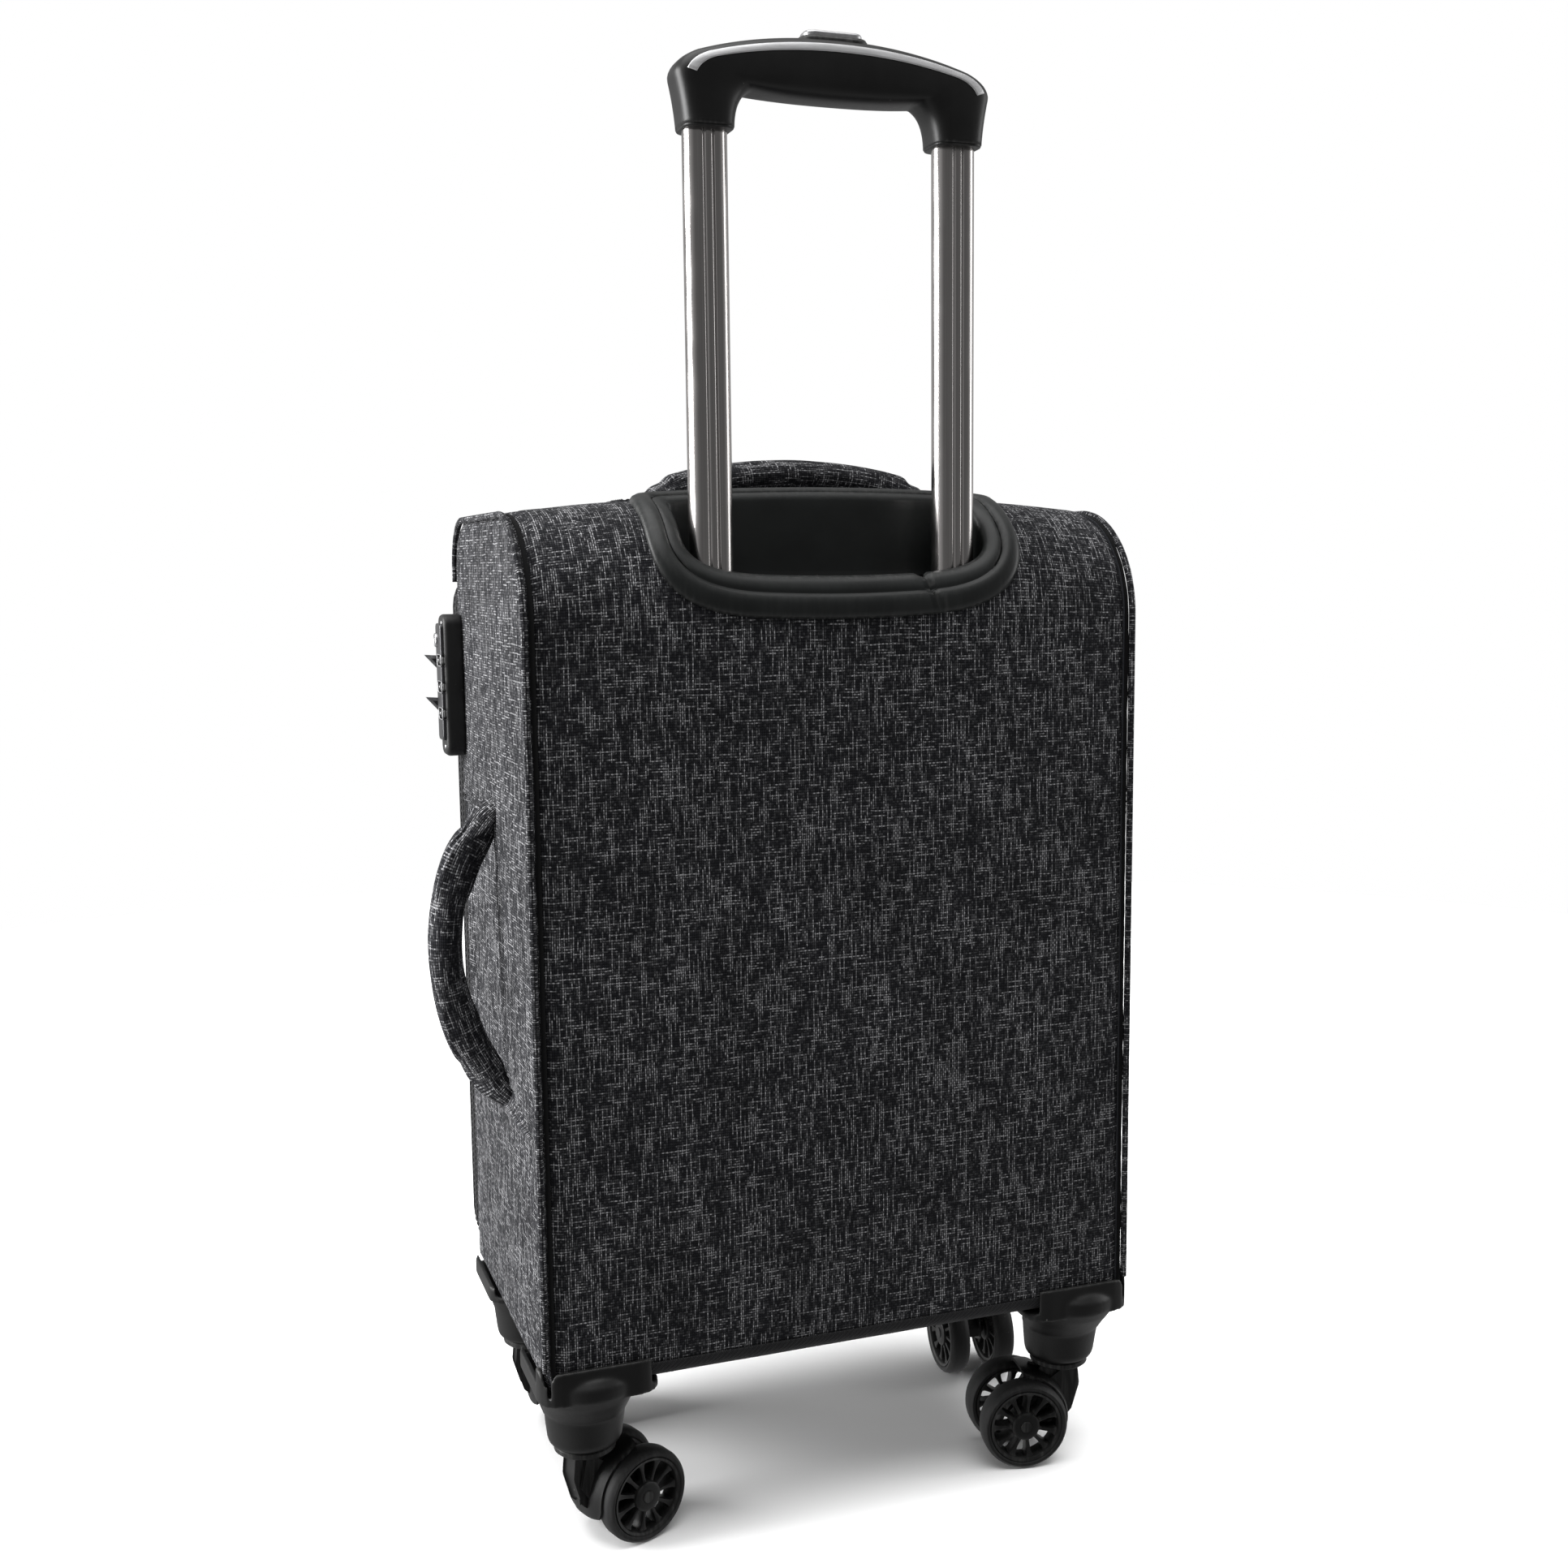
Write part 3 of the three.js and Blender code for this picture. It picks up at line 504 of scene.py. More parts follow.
def ribbed(name, dark, light, pitch=0.9, ribs=2.2, relief=0.2, sheen=0.15):
    """Fine woven tape or lining: narrow threads under broader ribs, with painted shade in the hollows and
    painted highlight on the crests.
    """
    g = Graph(name)
    uv, across, along = g.weave_coordinates()
    wobble = g.math("MULTIPLY", g.noise(uv, 150.0), 0.8)
    u = g.math("SINE", g.math("MULTIPLY_ADD", across, 2000 * math.pi / pitch, wobble))
    v = g.math("SINE", g.math("MULTIPLY_ADD", along, 2000 * math.pi / pitch, wobble))
    rib = g.math("SINE", g.math("MULTIPLY_ADD", g.math("ADD", across, along), 2000 * math.pi / ribs, wobble))
    height = g.math("ADD", g.math("MULTIPLY", u, v), g.math("MULTIPLY", rib, 0.6))
    fleck = g.noise(g.stretch(uv, (600.0, 90.0, 1.0)), 1.0, 3.0)
    # Painted shade and highlight: the tone follows the weave's height, dark in the hollows and light on the
    # crests, with random flecks added.
    tone = g.math("MULTIPLY_ADD", g.ramp(height, -1.2, 1.2), 0.6, g.math("MULTIPLY", fleck, 0.4))
    patch = g.ramp(g.noise(uv, 18.0, 3.0), 0.3, 0.7, 0.85, 1.12)
    colour = g.scale(g.mix(tone, (*dark, 1), (*light, 1)), patch)
    g.bump(height, relief * MM, 0.5)
    return g.finish(colour, g.ramp(fleck, 0.3, 0.7, 0.7, 0.9), Sheen_Weight=sheen, Specular_IOR_Level=0.3)


def moulded(name, colour, roughness=0.42, grain=0.05, dust=0.5, worn=(0.09, 0.09, 0.088)):
    """Moulded plastic: fine spark-eroded grain, uneven gloss, rubbed edges, a few dust specks."""
    g = Graph(name)
    own = g.own()
    fine = g.noise(own, 2600.0, 2.0)
    cloud = g.noise(own, 28.0, 4.0, 0.6)
    streak = g.noise(g.stretch(own, (420.0, 420.0, 35.0)), 1.0, 3.0)
    edge = g.ramp(g.node("ShaderNodeNewGeometry").outputs["Pointiness"], 0.515, 0.58)
    speck = g.math("MULTIPLY", g.ramp(g.cells(own, 160.0), 0.1, 0.05), g.ramp(g.noise(own, 30.0), 0.6, 0.66))
    base = g.scale((*colour,), g.ramp(cloud, 0.3, 0.7, 0.8, 1.25))
    rubbed = g.mix(g.math("MULTIPLY", edge, g.ramp(streak, 0.4, 0.7, 0.1, 0.7)), base, (*worn, 1))
    dusty = g.mix(g.math("MULTIPLY", speck, dust), rubbed, (0.32, 0.31, 0.29, 1))
    g.bump(g.math("MULTIPLY_ADD", cloud, 0.5, fine), grain * MM, 0.7)
    rough = g.math("MULTIPLY_ADD", cloud, 0.22, g.math("MULTIPLY_ADD", streak, 0.08, roughness - 0.15))
    return g.finish(dusty, rough, Specular_IOR_Level=0.45)


def metal(name, colour, roughness=0.16, streaks=(900.0, 900.0, 5.0), relief=0.004, dull=0.14, metallic=1.0):
    """Drawn or brushed metal: long streaks, smudges and a slightly uneven colour."""
    g = Graph(name)
    own = g.own()
    streak = g.noise(g.stretch(own, streaks), 1.0, 4.0, 0.65)
    smudge = g.noise(own, 34.0, 3.0, 0.6)
    scratch = g.ramp(g.noise(g.stretch(own, (2600.0, 2600.0, 60.0)), 1.0, 2.0), 0.62, 0.72)
    tint = g.mix(g.ramp(streak, 0.3, 0.7), (*[c * 0.86 for c in colour], 1), (*colour, 1))
    tint = g.mix(g.math("MULTIPLY", g.ramp(smudge, 0.5, 0.75), 0.25), tint, (*[c * 0.72 for c in colour], 1))
    rough = g.math("MULTIPLY_ADD", g.ramp(smudge, 0.35, 0.75), dull,
                   g.math("MULTIPLY_ADD", streak, 0.1, roughness - 0.05))
    g.bump(g.math("ADD", streak, g.math("MULTIPLY", scratch, -0.6)), relief * MM, 0.6)
    return g.finish(tint, rough, Metallic=metallic)


def thread_material(name, colour):
    """Twisted sewing thread."""
    g = Graph(name)
    own = g.own()
    twist = g.noise(g.stretch(own, (2600.0, 2600.0, 2600.0)), 1.0, 1.0)
    g.bump(twist, 0.12 * MM, 0.8)
    tone = g.scale((*colour,), g.ramp(twist, 0.3, 0.7, 0.6, 1.5))
    return g.finish(tone, g.ramp(twist, 0.3, 0.7, 0.6, 0.85), Sheen_Weight=0.2)


FABRIC = heather("heather_weave", (0.021, 0.0215, 0.026), (0.63, 0.63, 0.65))
FABRIC_TRIM = heather("heather_binding", (0.012, 0.0125, 0.015), (0.16, 0.16, 0.17), pitch=(1.2, 1.6),
                      slubs=(0.56, 0.68), relief=0.25)
FABRIC_BOTTOM = ribbed("coated_base_cloth", (0.008, 0.008, 0.009), (0.035, 0.035, 0.038), pitch=1.4,
                       ribs=3.0)
LINING = ribbed("twill_lining", (0.022, 0.024, 0.030), (0.070, 0.074, 0.088), pitch=0.8, ribs=1.7,
                relief=0.12)
WEBBING = ribbed("strap_webbing", (0.008, 0.008, 0.009), (0.05, 0.05, 0.055), pitch=1.1, ribs=2.4,
                 relief=0.35)
TAPE = ribbed("zip_tape", (0.007, 0.007, 0.008), (0.032, 0.032, 0.035), pitch=0.7, ribs=1.4, relief=0.2)
PLASTIC = moulded("black_moulded_plastic", (0.0105, 0.0105, 0.0105), 0.44, dust=0.6)
GRIP_PLASTIC = moulded("black_satin_grip", (0.0085, 0.0085, 0.0085), 0.4, grain=0.03, dust=0.25)
CUP_PLASTIC = moulded("black_gloss_cup", (0.0135, 0.0155, 0.0152), 0.42, grain=0.035, dust=0.5)
COIL = moulded("nylon_coil", (0.009, 0.009, 0.0095), 0.34, grain=0.02, dust=0.2)
RUBBER = moulded("tyre_rubber", (0.016, 0.016, 0.0165), 0.62, grain=0.1, dust=0.8, worn=(0.06, 0.06, 0.058))
CHROME = metal("polished_tube", (0.60, 0.575, 0.565), 0.13)
SATIN = metal("satin_metal", (0.62, 0.62, 0.63), 0.3, streaks=(500.0, 60.0, 500.0), relief=0.008)
BAND = metal("silver_paint_band", (0.88, 0.88, 0.89), 0.3, streaks=(60.0, 500.0, 500.0), metallic=0.45)
DARK_METAL = metal("dark_lock_metal", (0.13, 0.13, 0.135), 0.32, streaks=(500.0, 500.0, 60.0), relief=0.008)
THREAD = thread_material("sewing_thread", (0.02, 0.02, 0.022))

# ==== body shell ==============================================================================

ARC_BACK = BACK_RADIUS * math.pi / 2
ARC_FRONT = FRONT_RADIUS * math.pi / 2
S_ARC = TOP - BACK_RADIUS
S_TOP = S_ARC + ARC_BACK
S_ROLL = S_TOP + DEPTH - BACK_RADIUS - FRONT_RADIUS
S_END = S_ROLL + ARC_FRONT
S_SEAM = S_TOP - SEAM_Y - BACK_RADIUS


def profile(s):
    """Side profile of the body: (y, z) at a distance s that equals z up the back panel."""
    s = np.asarray(s, float)
    back = np.clip((s - S_ARC) / BACK_RADIUS, 0, math.pi / 2)
    roll = np.clip((s - S_ROLL) / FRONT_RADIUS, 0, math.pi / 2)
    y = -BACK_RADIUS + BACK_RADIUS * np.cos(back)
    z = S_ARC + BACK_RADIUS * np.sin(back)
    y = y - np.clip(s - S_TOP, 0, S_ROLL - S_TOP) - FRONT_RADIUS * np.sin(roll)
    z = z - FRONT_RADIUS * (1 - np.cos(roll))
    return y, z - np.maximum(S_ARC - s, 0)


def skin(x, s, height=0.0):
    """A point at a height over the body's wall, which is crowned across its top."""
    x, s = np.broadcast_arrays(np.asarray(x, float), np.asarray(s, float))

    def wall(x, s):
        y, z = profile(s)
        rise = CROWN * np.maximum(0, 1 - (x / HALF) ** 2) * smoothstep(CROWN_START, TOP - 8, z)
        return np.stack([x, y, z + rise], axis=-1)

    du, ds = wall(x + 0.5, s) - wall(x - 0.5, s), wall(x, s + 0.5) - wall(x, s - 0.5)
    normal = np.cross(ds, du)
    normal = -normal / np.linalg.norm(normal, axis=-1)[..., None]
    normal = np.where(normal[..., 1:2] + normal[..., 2:3] < -1e-6, -normal, normal)
    front = s > S_ROLL + 1e-6
    flip = front & (normal[..., 2] - normal[..., 1] < 0)
    normal = np.where(flip[..., None], -normal, normal)
    return wall(x, s) + normal * np.asarray(height, float)[..., None]


def unevenness(x, y, scale, seed):
    """Slow waves of fabric over a board, from -1 to 1."""
    flat = zip(np.ravel(x), np.ravel(y))
    values = [noise.noise(Vector((a / scale, b / scale, seed))) for a, b in flat]
    return np.array(values).reshape(np.shape(x))


def ease(count, low, high, edge=9.0, fine=4):
    """Places from low to high with a few close ones at both ends."""
    inner = np.linspace(low + edge, high - edge, count)
    ends = edge * (np.arange(fine) / fine) ** 1.4
    return np.concatenate([low + ends, inner, (high - ends)[::-1]])


# Outline of the trolley cup's border over the skin: arms, rounded corners and a low arch.
CUP_OUTER = {"half": 102.0, "floor": 494.0, "corner": 40.0, "arch": 4.0, "far": S_ARC + 83.5}
CUP_INNER = {"half": 85.5, "floor": 511.5, "corner": 24.0, "arch": 3.0, "far": S_ARC + 74.0}


def cup_loop(share):
    """Closed line in (x, s), from the border's outer edge at share 0 to its inner edge at 1."""
    half, floor, corner, arch, far = (
        CUP_OUTER[k] + (CUP_INNER[k] - CUP_OUTER[k]) * share
        for k in ("half", "floor", "corner", "arch", "far")
    )
    turn = 9.0 - 3.0 * share
    side = np.column_stack([np.full(9, half), np.linspace(far - turn, floor + corner, 9)])
    bend = bezier(
        (half, floor + corner), (half, floor + corner * 0.35), (half * 0.82, floor + arch),
        (half * 0.5, floor + arch * 0.4), count=22,
    )
    high, dip = floor + arch * 0.4, floor - arch * 0.4
    arc = bezier((half * 0.5, high), (0, dip), (-half * 0.5, high), count=25)
    low = np.vstack([side[:-1], bend[:-1], arc])
    low = np.vstack([low, (low[:-24] * (-1, 1))[::-1]])
    corners = bezier((-half, far - turn), (-half, far), (-half + turn, far), count=7)[1:]
    top = np.column_stack([np.linspace(-half + turn, half - turn, 25)[1:-1], np.full(23, far)])
    return np.vstack([low, corners, top, (corners * (-1, 1))[::-1]])


CUP_HOLE = cup_loop(0.45)


def inside_loop(loop, x, s):
    """Whether (x, s) lies inside a closed line."""
    a, b = loop, np.roll(loop, -1, axis=0)
    crosses = (a[:, 1] > s) != (b[:, 1] > s)
    at = a[:, 0] + (s - a[:, 1]) / np.where(crosses, b[:, 1] - a[:, 1], 1) * (b[:, 0] - a[:, 0])
    return bool(np.count_nonzero(crosses & (at > x)) % 2)


def wrap_panel(name, s_low, s_high, step, replaces, seed, hole, sink):
    """A panel of fabric over board, sunk at its seams and open at the cup, with lining behind it."""
    xs = ease(64, -WRAP_HALF, WRAP_HALF)
    ss = ease(max(4, int((s_high - s_low) / step)), s_low, s_high, edge=min(9.0, (s_high - s_low) / 4))
    x, s = np.meshgrid(xs, ss, indexing="ij")
    from_side = WRAP_HALF - np.abs(x)
    low, high = s - s_low, s_high - s
    height = -2.6 * (1 - smoothstep(0, 7, from_side))
    height -= sink[0] * (1 - smoothstep(0, 5, low)) + sink[1] * (1 - smoothstep(0, 5, high))
    height += 1.5 * smoothstep(0, 60, from_side) * smoothstep(0, 60, low) * smoothstep(0, 60, high)
    height += 0.45 * unevenness(x, s, 60, seed) + 0.2 * unevenness(x, s, 17, seed + 5)

    def keep(i, j):
        middle_x = (xs[i] + xs[i + 1]) / 2
        middle_s = (ss[j] + ss[j + 1]) / 2
        return not inside_loop(hole, middle_x, middle_s)

    shape = Shape().grid(skin(x, s, height), us=xs * MM, vs=ss * MM, keep=keep)
    obj = shape.build(name, None, [FABRIC, LINING], closed=False, slot="shell_fabric")
    thicken(obj, 3.4, 1)
    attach(obj, "case")
    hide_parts(*replaces)
    return obj


def thicken(obj, thickness, lining=0):
    """Thickness inwards for an open sheet of the body's wall; lining is its inner face's material."""
    face_up(obj.data)
    board = obj.modifiers.new("board and lining", "SOLIDIFY")
    board.thickness = thickness * MM
    board.offset = -1
    board.material_offset = lining


def face_up(mesh):
    """Turns an open sheet's faces away from the middle of the body."""
    centre = Vector((np.array(BODY_MIDDLE) * MM + ORIGIN).tolist())
    middle = mesh.polygons[len(mesh.polygons) // 2]
    if middle.normal.dot(middle.center - centre) < 0:
        mesh.flip_normals()


def bottom_path(s):
    """The base: from the front edge backwards under the body and up round the back's foot."""
    s = np.asarray(s, float)
    foot = np.clip((s - (DEPTH - FOOT_RADIUS)) / FOOT_RADIUS, 0, math.pi / 2)
    rest = np.maximum(s - (DEPTH - FOOT_RADIUS) - FOOT_RADIUS * math.pi / 2, 0)
    y = -DEPTH + np.minimum(s, DEPTH - FOOT_RADIUS) + FOOT_RADIUS * np.sin(foot)
    return y, BOTTOM + FOOT_RADIUS * (1 - np.cos(foot)) + rest


def make_base():
    """Coated cloth under the case, carried up to meet the back panel's fabric."""
    length = DEPTH - FOOT_RADIUS + FOOT_RADIUS * math.pi / 2
    xs = ease(56, -WRAP_HALF, WRAP_HALF)
    ss = ease(46, 2.0, length, edge=6)
    x, s = np.meshgrid(xs, ss, indexing="ij")
    y, z = bottom_path(s)
    dip = 1.6 * (1 - smoothstep(0, 6, WRAP_HALF - np.abs(x))) + 0.25 * unevenness(x, s, 40, 3.3)
    foot = np.clip((s - (DEPTH - FOOT_RADIUS)) / FOOT_RADIUS, 0, math.pi / 2)
    points = np.stack([x, y - dip * np.sin(foot), z + dip * np.cos(foot)], axis=-1)
    shape = Shape().grid(points, us=xs * MM, vs=ss * MM)
    obj = shape.build("base_cloth", None, [FABRIC_BOTTOM, LINING], closed=False, slot="shell_fabric")
    thicken(obj, 3.2, 1)
    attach(obj, "case")
    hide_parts("bottom_panel")
    for k, y in enumerate((-160, -99, -38)):
        runner = rounded_rect(170, 9, 4.4, centre=(0, y), corner=6)
        Shape().slab(runner, BOTTOM - 3.2, BOTTOM + 1.0, edge=1.4).build(
            f"base_runner_{k + 1}", "case", [PLASTIC], slot="black_plastic"
        )


wrap_panel("back_panel_fabric", BOTTOM + 10, S_SEAM, 5.0, ["back_panel"], 1.7, sink=(0.6, 1.8),
           hole=CUP_HOLE)
wrap_panel("top_panel_fabric", S_SEAM + 0.3, S_END - 1.0, 4.0, ["top_panel"], 4.2, sink=(1.8, 0.8),
           hole=CUP_HOLE)
make_base()


# ---- side panels, piping and front border ----------------------------------------------------


def side_outline(inset=0.0):
    """The side panel's edge as (y, z), counter-clockwise seen from +X, starting front low."""
    points = [(inset - DEPTH, BOTTOM + inset), (-FOOT_RADIUS, BOTTOM + inset)]
    quarter = math.pi / 2
    corners = (
        (-FOOT_RADIUS, BOTTOM + FOOT_RADIUS, FOOT_RADIUS, np.linspace(-quarter, 0, 7)[1:]),
        (-BACK_RADIUS, S_ARC, BACK_RADIUS, np.linspace(0, quarter, 25)),
        (FRONT_RADIUS - DEPTH, TOP - FRONT_RADIUS, FRONT_RADIUS, np.linspace(quarter, math.pi, 15)),
    )
    for y, z, radius, turns in corners:
        reach = radius - inset
        points += [(y + reach * math.cos(t), z + reach * math.sin(t)) for t in turns]
    return np.array(points)


def depth_range(z):
    """Front and back edge of a side panel at a height."""
    inset = 0.6
    back = -inset
    front = inset - DEPTH
    if z > S_ARC:
        reach = BACK_RADIUS - inset
        back = -BACK_RADIUS + math.sqrt(max(reach**2 - (z - S_ARC) ** 2, 0))
    if z > TOP - FRONT_RADIUS:
        reach = FRONT_RADIUS - inset
        front = FRONT_RADIUS - DEPTH - math.sqrt(max(reach**2 - (z - TOP + FRONT_RADIUS) ** 2, 0))
    if z < BOTTOM + FOOT_RADIUS:
        reach = FOOT_RADIUS - inset
        back = -FOOT_RADIUS + math.sqrt(max(reach**2 - (BOTTOM + FOOT_RADIUS - z) ** 2, 0))
    return front, back


# Heights of the two cross seams that hold the side handle, and how far off them the cloth rises.
HANDLE_BAY = (233.0, 390.0)
SEAM_RIDGE = 2.2


def bay_edge(z):
    """Front edge of the raised strip behind the side handle; it curves back to the piping at its foot."""
    low, high = HANDLE_BAY
    t = np.clip((z - low) / (high - low), 0, 1)
    return -92.0 + 13.0 * (1 - t) + 62 * np.clip((0.16 - t) / 0.16, 0, 1) ** 2


def side_panel(name, sign, recessed, replaces, seed):
    zs = np.concatenate([
        BOTTOM + 1 + 11 * np.linspace(0, 1, 6) ** 1.3,
        np.arange(115, 228, 5.0),
        np.arange(228, 242, 1.2),
        np.arange(243, 382, 4.0),
        np.arange(383, 397, 1.2),
        np.arange(400, 490, 5.0),
        S_ARC + (BACK_RADIUS - 0.6) * np.sin(np.linspace(0, math.pi / 2, 26)),
    ])
    fractions = ease(54, 0, 1, edge=0.05, fine=5)
    if recessed:
        close = -np.array([70, 76, 79, 81, 83, 85, 87, 89, 91, 93, 95, 97, 100, 104]) / DEPTH + 1
        fractions = np.unique(np.concatenate([fractions, close]))
    points = []
    for z in zs:
        front, back = depth_range(z)
        y = front + (back - front) * fractions
        points.append(np.column_stack([np.full(len(y), HALF), y, np.full(len(y), z)]))
    points = np.array(points)
    y, z = points[..., 1], points[..., 2]
    outline = resample(side_outline(), 3.0, closed=True)
    flat = np.column_stack([y.ravel(), z.ravel()])
    away = np.array([np.min(np.hypot(*(outline - p).T)) for p in flat]).reshape(y.shape)
    height = -2.8 * (1 - smoothstep(0, 7.5, away)) + 1.2 * smoothstep(4, 60, away)
    height += 0.5 * unevenness(y, z, 55, seed) + 0.22 * unevenness(y, z, 16, seed + 3)
    if recessed:
        low, high = HANDLE_BAY
        edge = bay_edge(z)
        inside = smoothstep(-1.5, 3.0, edge - y) * smoothstep(low - 1.0, low + 3, z)
        inside *= 1 - smoothstep(high - 3, high + 1.0, z)
        front_fade = smoothstep(-DEPTH + 6, -DEPTH + 22, y)
        hollow = 4.6 - 1.8 * smoothstep(0, 90, edge - y)
        height -= inside * hollow * front_fade
        lip = np.exp(-(((y - edge) - 3.2) / 2.4) ** 2) * smoothstep(low, low + 12, z)
        lip *= 1 - smoothstep(high - 8, high, z)
        height += 1.1 * lip
        ahead = (y < edge + 3) & (y > -DEPTH + 4)
        for seam in HANDLE_BAY:
            height += np.where(ahead, 1.0 * np.exp(-((np.abs(z - seam) - SEAM_RIDGE) / 1.3) ** 2), 0)
            height -= np.where(ahead, 1.2 * np.exp(-((z - seam) / 0.9) ** 2), 0)
    height = np.minimum(height, 1.6)
    near_lock = np.exp(-(((y + 190) / 26) ** 4)) * np.exp(-(((z - 455) / 52) ** 4))
    height -= (height + 0.2) * near_lock * (height > -0.2)
    points[..., 0] = sign * (HALF + height)
    inner = points.copy()
    inner[..., 0] = sign * (HALF - 5.2)
    shape = Shape().lined(points, inner, zs * MM, fractions * DEPTH * MM)
    outer_faces = shape.faces[:(len(zs) - 1) * (len(fractions) - 1)]
    woven = [(shape.points[c][1] * MM, shape.points[c][2] * MM) for f in outer_faces for c in f]
    shape.uvs[:len(woven)] = woven
    return shape.build(name, "case", [FABRIC, LINING], slot="shell_fabric", replaces=replaces)


side_panel("side_panel_fabric_right", 1, True, ["side_panel_right"], 7.1)
side_panel("side_panel_fabric_left", -1, False, ["side_panel_left"], 11.9)


def edge_route(inset):
    """The line round the back and top of a side panel, as (y, z)."""
    line = side_outline(inset)
    low = BOTTOM + 14
    start = [[-inset, low]]
    keep = line[line[:, 1] > low + 1]
    keep = keep[(keep[:, 0] > -DEPTH - 1)]
    return resample(np.vstack([start, keep, [[inset - DEPTH, TOP - FRONT_RADIUS - 6]]]), 3.0)


def make_piping(side, sign):
    route = edge_route(1.0)
    path = np.column_stack([np.full(len(route), sign * (HALF - 0.2)), route])
    piping = Shape().tube(path, circle(PIPING_RADIUS, 12), up=(sign, 0, 0))
    piping.build(f"piping_cord_{side}", "case", [FABRIC], slot="shell_fabric", replaces=[f"piping_{side}"])


for side, sign in SIDES:
    make_piping(side, sign)


STITCH_LENGTH = 2.6
STITCH_GAP = 1.2
THREAD_RADIUS = 0.36


def stitches(path, up=(0, 0, 1)):
    """A row of thread stitches along a path, each one bowed a little out of the cloth."""
    path = np.asarray(path, float)
    along = arc_lengths(path) / MM
    shape = Shape()
    place = STITCH_GAP / 2
    up = np.asarray(up, float)
    while place + STITCH_LENGTH < along[-1]:
        spots = np.linspace(place, place + STITCH_LENGTH, 5)
        line = np.column_stack([np.interp(spots, along, path[:, k]) for k in range(3)])
        bow = np.array([-0.3, 0.15, 0.3, 0.15, -0.3])[:, None]
        shape.tube(line + bow * up, circle(THREAD_RADIUS, 6), up=up)
        place += STITCH_LENGTH + STITCH_GAP
    return shape


# ==== trolley =================================================================================

TUBE_X = 67.8
TUBE_Y = -18.0
CUP_FLOOR = 505.0
GRIP_FOOT = case_box("grip")[0][2]
GRIP_TOP = 784.0
GRIP_HALF_DEPTH = 14.0
GRIP_BLUNTNESS = 3.4
GRIP_RINGS = 121
CUP_SECTION = (
    (0.0, -2.4), (0.0, 1.6), (0.05, 2.6), (0.13, 3.3), (0.3, 3.6), (0.42, 3.3), (0.48, 2.4), (0.52, 1.5),
    (0.56, 1.3), (0.61, 1.7), (0.68, 1.8), (0.8, 1.1), (0.92, 0.1), (0.985, -1.2),
)


def make_cup():
    """Stepped border over the fabric and the scooped recess for the stowed grip, in one moulding."""
    rows = []
    for share, height in CUP_SECTION:
        loop = cup_loop(share)
        rows.append(skin(loop[:, 0], loop[:, 1], height))
    lip = rows[-1]
    plan = lip[:, :2]
    inward = -outline_normals(plan[::-1])[::-1]
    centre = np.array([0, -24.0])
    inward = np.where(np.sum(inward * (centre - plan), axis=1)[:, None] < 0, -inward, inward)
    drop = lip[:, 2] - CUP_FLOOR
    fillet = np.minimum(15.0, drop * 0.8)
    for t in np.linspace(0.12, 1, 6):
        ring = lip.copy()
        ring[:, 2] = lip[:, 2] - (drop - fillet) * t
        rows.append(ring)
    for t in np.linspace(0, math.pi / 2, 8)[1:]:
        ring = lip.copy()
        ring[:, :2] = plan + inward * (fillet * (1 - math.cos(t)))[:, None]
        ring[:, 2] = CUP_FLOOR + fillet * (1 - math.sin(t))
        rows.append(ring)
    edge = rows[-1]
    for t in (0.35, 0.7, 1.0):
        ring = edge.copy()
        ring[:, 1] = edge[:, 1] + (TUBE_Y - 4 - edge[:, 1]) * t
        ring[:, 0] = edge[:, 0] * (1 - 0.06 * t)
        rows.append(ring)
    shape = Shape().grid(np.array(rows), wrap_v=True)
    cup = shape.build("trolley_cup_moulding", None, [CUP_PLASTIC], closed=False, slot="black_plastic")
    thicken(cup, 1.4)
    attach(cup, "case")
    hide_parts("trolley_cup")
    for side, sign in SIDES:
        collar = rounded_rect(33, 24.5, 11.5, (sign * TUBE_X, TUBE_Y), 8)
        bore = rounded_rect(27.2, 19.2, 9.4, (sign * TUBE_X, TUBE_Y), 8)
        chamfer = collar * 0.8 + bore * 0.2
        rings = [(collar, 504.0), (collar, 507.2), (chamfer, 508.4), (bore, 508.0), (bore, 504.0)]
        make_ring(f"tube_collar_{side}", "case", rings, CUP_PLASTIC)
    for side, sign in SIDES:
        rib = [(sign * 87.2, TUBE_Y - 1, z) for z in np.linspace(506, 536, 9)]
        taper = 1 - 0.35 * np.linspace(0, 1, 9) ** 3
        Shape().tube(rib, circle(3.2, 14), up=(0, 1, 0), scale=taper).build(
            f"cup_rib_{side}", "case", [CUP_PLASTIC], slot="black_plastic"
        )


def make_ring(name, body, rings, material):
    """A flat ring about an upright hole, from outlines in (x, y) with their heights."""
    shape = Shape().grid([at_height(line, z) for line, z in rings], wrap_u=True, wrap_v=True)
    shape.build(name, body, [material], slot="black_plastic")


def tube_section(width, depth, grooves=True):
    """Polished oval section with two shallow grooves in each broad face."""
    half, rest = depth / 2, width / 2 - depth / 2 + 0.5
    xs = np.linspace(-rest, rest, 25)
    ys = np.full(25, half)
    if grooves:
        for at in (-rest * 0.52, rest * 0.52):
            ys = ys - 0.75 * np.exp(-(((xs - at) / 0.6) ** 4))
        ys = ys - 0.25 * np.exp(-(((np.abs(xs) - rest * 0.52) / 1.6) ** 2))
    turns = np.linspace(-math.pi / 2, math.pi / 2, 19)[1:-1]
    right = np.column_stack([rest + (half - 0.5) * np.cos(turns), half * np.sin(turns)])
    left = np.column_stack([-rest - (half - 0.5) * np.cos(turns), -half * np.sin(turns)])
    return np.vstack([np.column_stack([xs, -ys]), right, np.column_stack([xs[::-1], ys[::-1]]), left])


